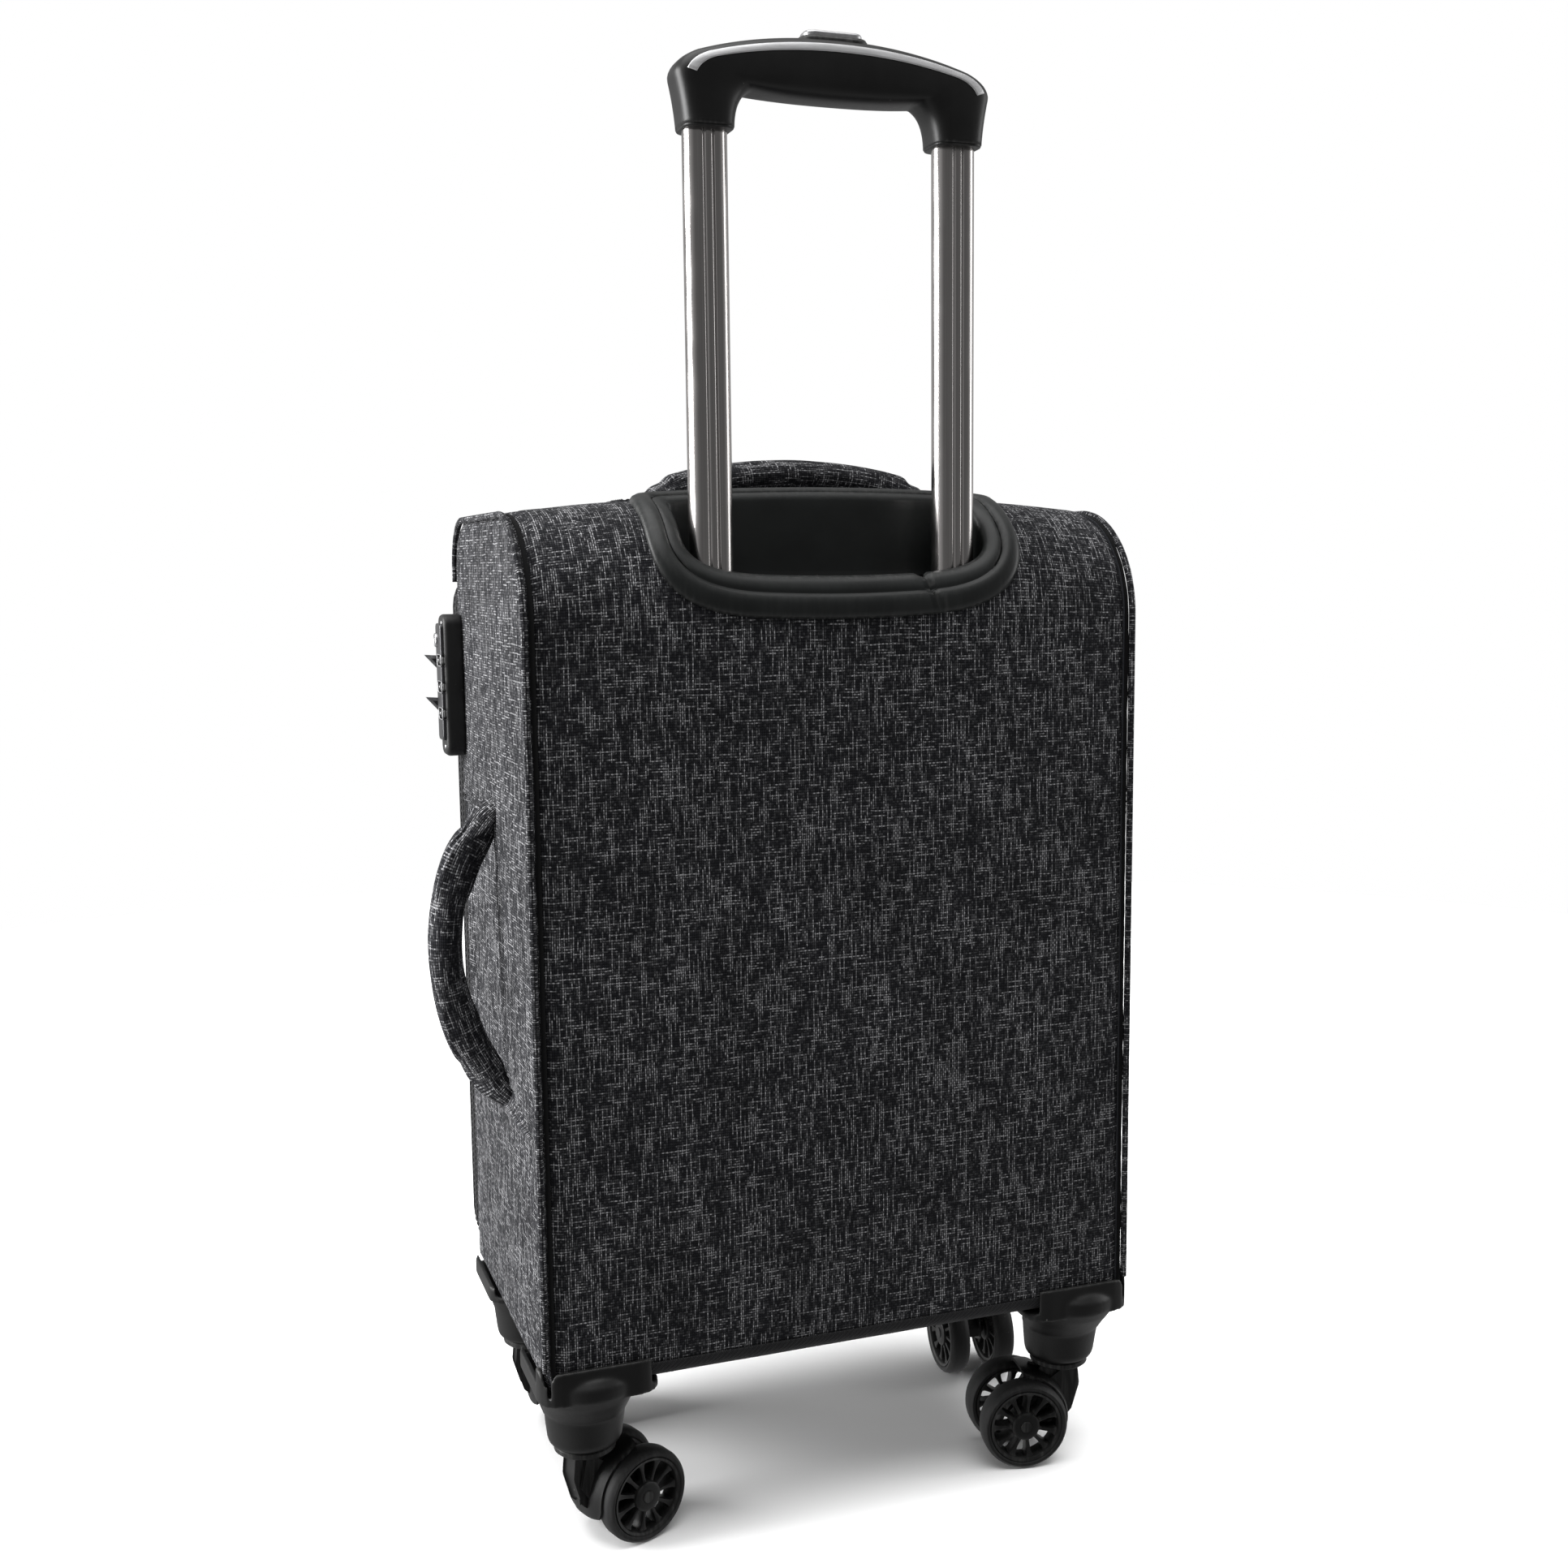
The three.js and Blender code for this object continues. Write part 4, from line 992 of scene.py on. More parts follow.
def make_tubes():
    for side, sign in SIDES:
        for stage, body, size in (("upper", "upper_stage", (23, 15)), ("mid", "mid_stage", (26.4, 18.4))):
            low, high = case_box(f"{stage}_tube_{side}")
            section = tube_section(*size, grooves=stage == "upper") + (sign * TUBE_X, TUBE_Y)
            zs = np.linspace(low[2], high[2], 9)
            rings = [at_height(section, z) for z in zs]
            if stage == "upper":
                shape = Shape().grid(rings, wrap_v=True, caps=True)
            else:
                bore = tube_section(size[0] - 2.4, size[1] - 2.4, grooves=False) + (sign * TUBE_X, TUBE_Y)
                inner = [at_height(bore, z) for z in zs[::-1]]
                shape = Shape().grid(np.array(rings + inner), wrap_u=True, wrap_v=True)
            made = shape.build(f"{stage}_tube_polished_{side}", body, [CHROME], slot="polished_tube",
                               replaces=[f"{stage}_tube_{side}"])
            smooth_by_angle(made.data, 50)
        dress(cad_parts[f"sleeve_tube_{side}"], SATIN)
    dress(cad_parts["trolley_foot"], PLASTIC, 1.2)
    dress(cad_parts["push_rods"], SATIN, 0.3)


def dress(node, material, edge=None):
    """A CAD node keeps its shape and gets a finished material and softened edges."""
    node.data.materials.clear()
    node.data.materials.append(material)
    if edge:
        soften(node, edge)


def grip_lines():
    """Outer and inner edge of the grip from its right foot over the bar to its left foot, in (x, z)."""
    foot, top = GRIP_FOOT, GRIP_TOP
    outer, bulge, inner = 81.0, 85.0, 54.0
    high = [
        bezier((outer, foot), (outer + 1, foot + 12), (bulge, foot + 24)),
        bezier((bulge, foot + 24), (bulge, foot + 31), (bulge - 12, foot + 36)),
        bezier((bulge - 12, foot + 36), (bulge - 45, top), (0, top), count=24),
    ]
    low = [
        bezier((inner, foot), (inner - 0.5, foot + 14), (inner - 9, foot + 18.5), count=16),
        bezier((inner - 9, foot + 18.5), (inner - 24, foot + 16.4), (0, foot + 16.4), count=24),
    ]
    halves = []
    for parts in (high, low):
        line = np.vstack([parts[0]] + [part[1:] for part in parts[1:]])
        along = arc_lengths(line)
        even = np.linspace(0, along[-1], GRIP_RINGS // 2 + 1)
        halves.append(np.column_stack([np.interp(even, along, line[:, k]) for k in (0, 1)]))
    return [np.vstack([half, (half[:-1] * (-1, 1))[::-1]]) for half in halves]


def grip_section(u_range, turns, outwards=0.0):
    """Points of the grip's surface: rings along it, each turned through some angles."""
    outer, inner = grip_lines()
    first, last = (int(round(u * (len(outer) - 1))) for u in u_range)
    rings = []
    for p, q in zip(outer[first:last + 1], inner[first:last + 1]):
        centre, reach = (p + q) / 2, np.linalg.norm(p - q) / 2
        across = (p - q) / (2 * reach)
        c, s = np.cos(turns), np.sin(turns)
        bend = 2 / GRIP_BLUNTNESS
        a = (reach + outwards) * np.sign(c) * np.abs(c) ** bend
        b = (GRIP_HALF_DEPTH + outwards) * np.sign(s) * np.abs(s) ** bend
        at = centre + across * a[:, None]
        rings.append(np.column_stack([at[:, 0], TUBE_Y + b, at[:, 1]]))
    return np.array(rings)


def make_grip():
    turns = np.linspace(0, 2 * math.pi, 49)[:-1]
    body = Shape().grid(grip_section((0, 1), turns), wrap_v=True, caps=True)
    body.build("grip_body", "upper_stage", [GRIP_PLASTIC], slot="black_plastic", replaces=["grip"])
    for side, sign in SIDES:
        collar = rounded_rect(26.0, 25.4, 7, (sign * 67.5, TUBE_Y), 8)
        Shape().slab(collar, GRIP_FOOT - 1.2, GRIP_FOOT + 2.6, edge=0.8).build(
            f"grip_foot_{side}", "upper_stage", [GRIP_PLASTIC], slot="black_plastic"
        )
    band_turns = np.linspace(0.98, 1.29, 9)
    over = grip_section((0.115, 0.885), band_turns, outwards=0.5)
    under = grip_section((0.115, 0.885), band_turns, outwards=-0.9)
    band = Shape().grid(np.concatenate([over, under[:, ::-1]], axis=1), wrap_v=True, caps=True)
    band.build("grip_silver_band", "upper_stage", [BAND], slot="satin_metal", replaces=["grip_trim"])
    high = case_box("grip_button")[1]
    cap = rounded_rect(31.4, 13.4, 5, (0, TUBE_Y), 7)
    Shape().slab(cap, 776.0, high[2] + 0.2, edge=1.6, steps=5).build(
        "grip_button_cap", "button", [SATIN], slot="satin_metal", replaces=["grip_button"]
    )
    seat = rounded_rect(37, 19, 7.5, (0, TUBE_Y), 8)
    well = rounded_rect(33, 15, 5.6, (0, TUBE_Y), 8)
    rings = [(seat, 780.0), (seat, 783.6), (seat * 0.6 + well * 0.4, 784.9), (well, 784.6), (well, 780.0)]
    make_ring("button_surround", "upper_stage", rings, GRIP_PLASTIC)


make_cup()
make_tubes()
make_grip()


# ==== soft handles ============================================================================


def inflate(obj, pressure, cap, pinned, frames=14):
    """Blows a fabric tube up a little by cloth simulation, caps how far a point moves, and keeps it."""
    rest = np.array([v.co for v in obj.data.vertices])
    group = obj.vertex_groups.new(name="held")
    for index, weight in enumerate(pinned):
        if weight > 0:
            group.add([index], float(weight), "REPLACE")
    cloth = obj.modifiers.new("padding", "CLOTH")
    settings = cloth.settings
    settings.quality = 6
    settings.mass = 0.3
    settings.tension_stiffness = settings.compression_stiffness = 12
    settings.shear_stiffness = 6
    settings.bending_stiffness = 0.4
    settings.use_pressure = True
    settings.uniform_pressure_force = pressure
    settings.effector_weights.gravity = 0
    settings.vertex_group_mass = "held"
    settings.shrink_min = -0.03
    cloth.collision_settings.use_collision = False
    for step in range(1, frames + 1):
        bpy.context.scene.frame_set(step)
    graph = bpy.context.evaluated_depsgraph_get()
    moved = np.array([v.co for v in obj.evaluated_get(graph).data.vertices])
    obj.modifiers.remove(cloth)
    obj.vertex_groups.remove(group)
    shift = moved - rest
    length = np.linalg.norm(shift, axis=1)
    shift *= (np.minimum(length, cap * MM) / np.maximum(length, 1e-9))[:, None]
    obj.data.vertices.foreach_set("co", (rest + shift).astype(np.float32).ravel())
    bpy.context.scene.frame_set(1)


def spline(points, count):
    """Smooth line through a few points."""
    points = np.asarray(points, float)
    padded = np.vstack([2 * points[0] - points[1], points, 2 * points[-1] - points[-2]])
    line = []
    for k in range(len(points) - 1):
        a, b, c, d = padded[k:k + 4]
        for t in np.linspace(0, 1, count, endpoint=False):
            line.append(0.5 * ((2 * b) + (c - a) * t + (2 * a - 5 * b + 4 * c - d) * t**2
                               + (3 * b - a - 3 * c + d) * t**3))
    line.append(points[-1])
    return np.array(line)


def padded_handle(name, path, up, wide, thick, creases, seed, replaces, flatten):
    """Stuffed fabric tube with lengthwise creases and a seam, flattened where it is sewn in."""
    path = resample(path, 3.2)
    count = len(path)
    t = np.linspace(0, 1, count)
    sides = 40
    turns = np.arange(sides) * 2 * math.pi / sides
    ahead = np.gradient(path, axis=0)
    ahead /= np.linalg.norm(ahead, axis=1)[:, None]
    across = np.cross(ahead, np.asarray(up, float))
    across /= np.linalg.norm(across, axis=1)[:, None]
    above = np.cross(across, ahead)
    ends = np.minimum(t, 1 - t)
    pinch = 1 - flatten[0] * (1 - smoothstep(0, 0.13, ends))
    spread = 1 + flatten[1] * (1 - smoothstep(0, 0.13, ends))
    rings = []
    for k in range(count):
        ripple = 0.0
        for crease, depth, drift in creases:
            place = crease + drift * math.sin(5.0 * t[k] + seed)
            gap = np.angle(np.exp(1j * (turns - place)))
            strength = 0.6 + 0.4 * math.sin(9 * t[k] + crease)
            ripple = ripple - depth * np.exp(-((gap / 0.16) ** 2)) * strength
        spots = [Vector((math.cos(a) * 0.9, math.sin(a) * 0.9 + seed, t[k] * 7)) for a in turns]
        wave = np.array([noise.noise(spot) for spot in spots])
        gather = 0.35 * np.sin(turns * 9 + seed) * (1 - smoothstep(0, 0.16, ends[k]))
        radius = 1 + (ripple + 0.35 * wave + gather) / max(wide, thick)
        x = across[k] * (wide * spread[k])
        y = above[k] * (thick * pinch[k])
        rings.append(path[k] + (np.cos(turns) * radius)[:, None] * x + (np.sin(turns) * radius)[:, None] * y)
    shape = Shape().grid(rings, wrap_v=True, caps=True)
    shape.uvs = [(v, u) for u, v in shape.uvs]
    obj = shape.build(name, None, [FABRIC], slot="shell_fabric")
    pinned = np.repeat((ends < 0.05).astype(float), sides)
    inflate(obj, 2.2, 1.6, pinned)
    smooth = obj.modifiers.new("rounded", "SUBSURF")
    smooth.levels = smooth.render_levels = 1
    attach(obj, "case")
    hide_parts(*replaces)


def make_handles():
    low, high = case_box("side_handle")
    middle_y = (low[1] + high[1]) / 2
    route = [(164, 397), (176, 386), (190.5, 358), (196.5, 318), (190.5, 276), (177, 246), (164, 232)]
    path = spline([(x, middle_y + (3 if z < 240 else 0), z) for x, z in route], 10)
    creases = ((0.5, 0.9, 0.3), (2.2, 0.7, -0.25), (4.3, 1.0, 0.2), (5.4, 0.5, -0.3))
    padded_handle("side_handle_padded", path, (0, 1, 0), 9.2, 9.6, creases, 2.3, ["side_handle"],
                  (-0.15, -0.25))
    low, high = case_box("top_handle")
    half = high[0] - 2
    rest = TOP + CROWN
    arch = [(-half, rest - 4), (-half * 0.86, rest + 1.5), (-half * 0.5, rest + 8.0), (0, rest + 11.2),
            (half * 0.5, rest + 8.0), (half * 0.86, rest + 1.5), (half, rest - 4)]
    middle_y = (low[1] + high[1]) / 2
    path = spline([(x, middle_y, z) for x, z in arch], 12)
    creases = ((0.9, 0.6, 0.2), (2.4, 0.6, -0.2), (4.6, 0.7, 0.2))
    padded_handle("top_handle_padded", path, (0, 0, 1), 11.0, 8.2, creases, 6.1, ["top_handle"],
                  (0.55, 0.15))
    for side, sign in SIDES:
        tab = rounded_rect(26, 30, 3, (sign * (half + 3), middle_y), 5)
        base = rest - CROWN * ((half + 3) / HALF) ** 2 - 1.0
        Shape().slab(tab, base - 1.5, base + 1.7, edge=0.9).build(
            f"top_handle_tab_{side}", "case", [FABRIC_TRIM], slot="shell_fabric"
        )
        frame_line = rounded_rect(21, 25, 2, (sign * (half + 3), middle_y), 4)
        path = at_height(resample(frame_line, 1.5, closed=True), base + 1.75)
        stitches(path).build(f"top_handle_stitch_{side}", "case", [THREAD], slot="shell_fabric")


# ==== lock and zip sliders ====================================================================


def make_lock():
    low, high = case_box("lock_housing")
    z0, z1, y0, y1 = low[2], high[2], low[1], high[1]
    face = high[0]
    middle = ((y0 + y1) / 2, (z0 + z1) / 2)
    outline = rounded_rect(y1 - y0, z1 - z0, 6.5, middle, 8)
    housing = Shape().slab(outline, HALF - 1.0, face, edge=2.6, place=along_x, steps=5)
    body = housing.build("lock_housing_moulding", None, [PLASTIC], slot="black_plastic")
    plate_low, plate_high = case_box("lock_plate")
    plate_middle = ((plate_low[1] + plate_high[1]) / 2, (plate_low[2] + plate_high[2]) / 2)
    width, height = plate_high[1] - plate_low[1], plate_high[2] - plate_low[2]
    plate = rounded_rect(width, height, 3, plate_middle, 6)
    plate = Shape().slab(plate, face - 0.4, plate_high[0], edge=0.7, place=along_x)
    plate = plate.build("lock_face_plate", None, [DARK_METAL], slot="satin_metal")
    cutter = Shape()
    dials = [case_box(f"lock_dial_{k}") for k in (1, 2, 3)]
    for dial_low, dial_high in dials:
        window = rounded_rect(13.0, 6.0, 1.2, (dial_low + dial_high)[1:] / 2, 3)
        cutter.slab(window, 170.8, 190, edge=0.05, place=along_x)
    key_low, key_high = case_box("lock_key_cylinder")
    key = ((key_low[1] + key_high[1]) / 2, (key_low[2] + key_high[2]) / 2)
    cutter.slab(circle(4.5, 28) + key, 172.1, 190, edge=0.05, place=along_x)
    tool = cutter.build("lock_cutter", None, [PLASTIC], smooth=False)
    carve(tool, body, plate)
    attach(body, "case")
    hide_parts("lock_housing")
    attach(plate, "case")
    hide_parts("lock_plate")
    trim = Shape()
    for dial_low, dial_high in dials:
        ring = rounded_rect(13.6, 6.6, 1.4, (dial_low + dial_high)[1:] / 2, 4)
        path = np.column_stack([np.full(len(ring), plate_high[0] + 0.05), ring])
        trim.tube(path, circle(0.35, 8), closed=True, up=(1, 0, 0))
    trim.build("lock_window_rims", "case", [SATIN], slot="satin_metal")
    for k, (dial_low, dial_high) in enumerate(dials, 1):
        centre = (dial_low + dial_high) / 2
        radius = (dial_high[0] - dial_low[0]) / 2
        teeth = 20
        rings = []
        for h, inset in ((-2.4, 0.7), (-2.1, 0.1), (-1.2, 0.0), (1.2, 0.0), (2.1, 0.1), (2.4, 0.7)):
            turns = np.linspace(0, 2 * math.pi, teeth * 4, endpoint=False)
            r = radius - inset - 0.28 * (np.cos(turns * teeth) > 0.35)
            around = np.column_stack([centre[0] + r * np.cos(turns), centre[1] + r * np.sin(turns)])
            rings.append(at_height(around, centre[2] + h))
        dial = Shape().grid(rings, wrap_v=True, caps=True)
        dial.build(f"lock_dial_knurled_{k}", f"dial_{k}", [PLASTIC, SATIN], slot="black_plastic",
                   replaces=[f"lock_dial_{k}"])
        marks = Shape()
        for number in range(10):
            t = 2 * math.pi * number / 10
            out = np.array([math.cos(t), math.sin(t), 0])
            start = centre + out * (radius - 0.05)
            marks.tube([start + (0, 0, -0.9), start + (0, 0, 0.9)], circle(0.28, 6), up=out)
        marks.build(f"lock_dial_marks_{k}", f"dial_{k}", [SATIN], slot="satin_metal")
    key_face = key_high[0]
    profile_line = [(0, key_face - 0.4), (2.6, key_face - 0.35), (3.4, key_face), (4.0, key_face - 0.3),
                    (4.2, key_face - 1.0), (4.2, key_low[0]), (0, key_low[0])]
    barrel = Shape().lathe(profile_line, centre=(0, *key), axis=(1, 0, 0), sides=40)
    barrel = barrel.build("lock_key_barrel", None, [SATIN], slot="satin_metal")
    keyway = rounded_rect(1.3, 5.2, 0.6, key, 4)
    keyway = Shape().slab(keyway, key_face - 2.2, key_face + 3, edge=0.02, place=along_x)
    tool = keyway.build("keyway_cutter", None, [PLASTIC], smooth=False)
    carve(tool, barrel)
    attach(barrel, "key_cylinder")
    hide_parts("lock_key_cylinder")
    screw = Shape()
    for z in (z0 + 5.5, z1 - 5.0):
        screw.lathe([(0, face + 0.3), (1.1, face + 0.3), (1.7, face - 0.1), (1.7, face - 1)],
                    centre=(0, middle[0] + 3.0, z), axis=(1, 0, 0), sides=20)
    screw.build("lock_rivets", "case", [SATIN], closed=False, slot="satin_metal")


def carve(tool, *objects):
    """Cuts a tool out of some objects' meshes, then removes it."""
    for obj in objects:
        cut_with(obj, tool)
        smooth_by_angle(keep_result(obj), 32)
    bpy.data.objects.remove(tool)


def make_main_sliders():
    for name in ("upper", "lower"):
        node = f"main_zip_slider_{name}"
        low, high = case_box(node)
        middle_y = (low[1] + high[1]) / 2
        z = low[2] + 6
        body = Shape()
        plate = rounded_rect(6.4, 11.6, 2.4, (middle_y, z), 5)
        post = rounded_rect(2.2, 5.0, 0.9, (middle_y, z + 3), 4)
        layers = ((plate, -0.6, 1.4, 0.6), (plate, 2.4, 4.2, 0.6), (post, 0.6, 3.2, 0.3))
        for line, start, end, edge in layers:
            body.slab(line, low[0] + start, low[0] + end, edge=edge, place=along_x)
        arch = spline([(low[0] + 4, middle_y, z - 4.5), (low[0] + 6.6, middle_y, z - 3),
                       (low[0] + 6.8, middle_y, z + 2), (low[0] + 4, middle_y, z + 4.5)], 5)
        body.tube(arch, circle(0.9, 10), up=(0, 1, 0))
        body.build(f"zip_slider_body_{name}", f"main_slider_{name}", [SATIN], slot="satin_metal",
                   replaces=[node])
        heel = low[0] + 5.2
        tab = [(heel, z - 4.6), (low[0] + 9, z - 4), (high[0] - 0.4, z + 6.6), (heel, z + 5.6)]
        tab = resample(tab, 0.8, closed=True)
        hole = (tab - tab.mean(axis=0)) * 0.5 + tab.mean(axis=0)
        rings = ((tab, -0.9), (tab, 0.9), (hole, 0.9), (hole, -0.9))
        rings = [at_depth(line, middle_y + y) for line, y in rings]
        pull = Shape().grid(rings, wrap_u=True, wrap_v=True)
        pull = pull.build(f"zip_pull_{name}", f"main_slider_{name}", [SATIN], smooth=False,
                          slot="satin_metal")
        soften(pull, 0.35, 2)
        infill = [at_depth(hole, middle_y + y) for y in (-0.45, 0.45)]
        Shape().grid(infill, wrap_v=True, caps=True).build(
            f"zip_pull_inlay_{name}", f"main_slider_{name}", [DARK_METAL], smooth=False, slot="satin_metal"
        )


make_handles()
make_lock()
make_main_sliders()


# ==== casters and corner guards ===============================================================

CASTERS = ("back_right", "front_right", "back_left", "front_left")
WHEEL_RADIUS = 25.6
WHEEL_WIDTH = 13.0
SPOKES = 11


def wheel_shape():
    """Wheel about the y axis: rubber tyre, rim ring, thin flared spokes and a hub."""
    half = WHEEL_WIDTH / 2
    shape = Shape()
    tyre = [(21.0, -half + 1.2), (22.2, -half), (23.6, -half), (25.0, -half + 1.5), (25.6, -half + 3.6),
            (25.6, half - 3.6), (25.0, half - 1.5), (23.6, half), (22.2, half), (21.0, half - 1.2)]
    shape.lathe(tyre, axis=(0, 1, 0), sides=72, slot=1, closed=True)
    rim = [(18.9, -half + 2.2), (19.6, -half + 0.8), (21.0, -half + 0.3), (21.3, -half + 1.2),
           (21.3, half - 1.2), (21.0, half - 0.3), (19.6, half - 0.8), (18.9, half - 2.2)]
    shape.lathe(rim, axis=(0, 1, 0), sides=72, closed=True)
    hub = [(0, -half - 0.2), (3.0, -half - 0.2), (3.4, -half + 0.5), (6.6, -half + 0.2), (8.0, -half + 0.9),
           (8.4, -half + 2.4), (8.4, half - 2.4), (8.0, half - 0.9), (6.6, half - 0.2), (3.4, half - 0.5),
           (3.0, half + 0.2), (0, half + 0.2)]
    shape.lathe(hub, axis=(0, 1, 0), sides=48)
    spoke = ((7.6, 1.3, 4.6), (10, 1.0, 4.3), (14, 1.05, 4.1), (17.5, 1.7, 4.3), (19.6, 3.0, 4.6))
    for k in range(SPOKES):
        turn = 2 * math.pi * k / SPOKES
        out = np.array([math.cos(turn), 0, math.sin(turn)])
        side = np.array([-math.sin(turn), 0, math.cos(turn)])
        rings = []
        for r, wide, deep in spoke:
            section = rounded_rect(2 * wide, 2 * deep, min(wide * 0.6, 0.8), corner=2)
            rings.append(out * r + section[:, :1] * side + section[:, 1:] * np.array([0, 1, 0]))
        shape.grid(rings, wrap_v=True, caps=True)
    return shape


def fork_shape(trail):
    """Swivel fork with its axle behind the swivel: collar, web, axle and a curved shield with a rib."""
    shape = Shape()
    collar = [(0, 52), (6, 52.4), (15.4, 55.4), (16.6, 56.4), (16.6, 58.6), (15.6, 59.5), (6.2, 59.5),
              (6.2, 80), (0, 80)]
    shape.lathe(collar, sides=48)
    web = [(-8, 57), (-9.5, 42), (-5, 27), (4, 19), (trail - 3, 18.4), (trail + 5, 22),
           (trail + 5.5, 29), (trail, 34), (15, 46), (10, 57)]
    shape.slab(resample(web, 1.6, closed=True)[::-1], -5.6, 5.6, edge=1.6, place=along_y)
    axle = [(0, -21.2), (2.4, -21.2), (3.0, -20.6), (3.0, 20.6), (2.4, 21.2), (0, 21.2)]
    shape.lathe(axle, centre=(trail, 0, WHEEL_RADIUS), axis=(0, 1, 0), sides=24)
    rings = []
    for t in np.radians(np.linspace(92, 196, 34)):
        fade = min(1.0, (math.degrees(t) - 88) / 22, (200 - math.degrees(t)) / 16)
        wide = 15.2 * (0.72 + 0.28 * fade)
        section = []
        for a in np.linspace(-1, 1, 15):
            section.append((29.4 - 2.4 * abs(a) ** 3, a * wide))
        for a in np.linspace(1, -1, 15):
            section.append((27.5 - 2.2 * abs(a) ** 3, a * wide * 0.97))
        rings.append([(trail + r * math.cos(t), y, WHEEL_RADIUS + r * math.sin(t)) for r, y in section])
    shape.grid(rings, wrap_v=True, caps=True)
    rib = [(trail + 30.0 * math.cos(t), 0, WHEEL_RADIUS + 30.0 * math.sin(t))
           for t in np.radians(np.linspace(104, 184, 16))]
    shape.tube(rib, circle(1.3, 10), up=(0, 1, 0), scale=1 - 0.5 * np.abs(np.linspace(-1, 1, 16)) ** 4)
    for side in (-1, 1):
        cheek = [(-7, 36), (2, 23), (trail - 5, 20), (trail - 4, 30), (8, 46), (-3, 54)]
        cheek = resample(cheek, 1.6, closed=True)[::-1]
        shape.slab(cheek, side * 6.4 - 0.9, side * 6.4 + 0.9, edge=0.5, place=along_y)
    return shape


def moved(shape, turn, shift):
    """A copy of a shape, turned about the vertical and shifted."""
    made = Shape()
    made.faces, made.uvs, made.slots = list(shape.faces), list(shape.uvs), list(shape.slots)
    c, s = math.cos(turn), math.sin(turn)
    spin = np.array([[c, s, 0], [-s, c, 0], [0, 0, 1]])
    made.points = (np.asarray(shape.points) @ spin + np.asarray(shift)).tolist()
    return made


def caster_mount(name, swivel):
    """Corner guard with a boss that runs down into the caster's housing, melted into one moulding."""
    back = name.startswith("back")
    side = math.copysign(1, swivel[0])
    lean = 1.0 if back else -0.35
    ring = [(60.2, 17.6, 0.0), (61.0, 19.0, 0.0), (63.5, 20.0, 0.2), (72.0, 21.0, 0.8), (79.6, 21.8, 1.6),
            (80.4, 22.5, 2.2), (86.0, 23.6, 5.6), (92.0, 25.0, 9.6), (98.0, 26.0, 12.6), (104.0, 25.6, 13.2),
            (108.0, 23.4, 12.2), (110.5, 18.0, 8.0), (111.6, 9.0, 3.0)]
    boss = Shape()
    turn = circle(1.0, 48)
    rings = [
        np.column_stack([turn[:, 0] * radius, turn[:, 1] * radius + lean * shift, np.full(48, z)])
        + (swivel[0], swivel[1], 0)
        for z, radius, shift in ring
    ]
    boss.grid(rings, wrap_v=True, caps=True)
    boss = boss.build(f"caster_mount_{name}", None, [PLASTIC])
    cut_with(boss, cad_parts[f"corner_guard_{name}"], "UNION")
    bore = [(0, 50), (6.6, 50), (6.6, 88), (0, 88)]
    bore = Shape().lathe(bore, centre=(swivel[0], swivel[1], 0), sides=32)
    tools = [bore.build(f"bore_{name}", None, [PLASTIC])]
    low_y, high_y = (-80, -11) if back else (-210, -100)
    shell = ((60, 0.3), (169.3, 0.3), (169.3, -197.9), (60, -197.9))
    strip = ((165, low_y), (180, low_y), (180, high_y), (165, high_y))
    for kind, line, heights in (("inside", shell, (99.7, 140)), ("strip", strip, (104.5, 120))):
        block = Shape().grid([at_height(np.array(line) * (side, 1), z) for z in heights],
                             wrap_v=True, caps=True)
        tools.append(block.build(f"{kind}_{name}", None, [PLASTIC]))
    if back:
        corner = np.array((side * 172.6, 3.6))
        out = np.array((side, 1.0)) / math.sqrt(2)
        across = np.array((-out[1], out[0]))
        wedge = ((0, 106.5), (7, 117), (-7, 117))
        notch = [[(*(corner + out * reach + across * d), z) for d, z in wedge] for reach in (-14, 8)]
        notch = Shape().grid(notch, wrap_v=True, caps=True)
        tools.append(notch.build(f"notch_{name}", None, [PLASTIC]))
    for tool in tools:
        cut_with(boss, tool)
    melt = boss.modifiers.new("melt", "REMESH")
    melt.mode = "VOXEL"
    melt.voxel_size = 1.1 * MM
    melt.use_smooth_shade = True
    even = boss.modifiers.new("fillets", "SMOOTH")
    even.factor = 0.5
    even.iterations = 5
    mesh = keep_result(boss)
    mesh.materials.clear()
    mesh.materials.append(PLASTIC)
    for tool in tools:
        bpy.data.objects.remove(tool)
    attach(boss, "case")
    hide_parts(f"corner_guard_{name}", f"caster_housing_{name}")


def make_casters():
    wheel = wheel_shape()
    for name in CASTERS:
        low, high = case_box(f"caster_housing_{name}")
        swivel = (low + high) / 2
        places = {}
        for side in "ab":
            low, high = case_box(f"wheel_{name}_{side}")
            places[side] = (low + high) / 2
        axle = (places["a"] + places["b"]) / 2
        reach = axle - swivel
        heading = math.atan2(reach[1], reach[0])
        caster_mount(name, swivel)
        fork = fork_shape(math.hypot(reach[0], reach[1]))
        made = moved(fork, heading, (swivel[0], swivel[1], 0)).build(
            f"caster_fork_shield_{name}", f"swivel_{name}", [PLASTIC], slot="black_plastic",
            replaces=[f"caster_fork_{name}"],
        )
        smooth_by_angle(made.data, 40)
        for side, centre in places.items():
            made = moved(wheel, heading, centre).build(
                f"spoked_wheel_{name}_{side}", f"wheel_{name}_{side}", [PLASTIC, RUBBER],
                slot="wheel_rubber", replaces=[f"wheel_{name}_{side}"],
            )
            smooth_by_angle(made.data, 40)


make_casters()


# ==== soft panels of the front, the lid and the inside ========================================

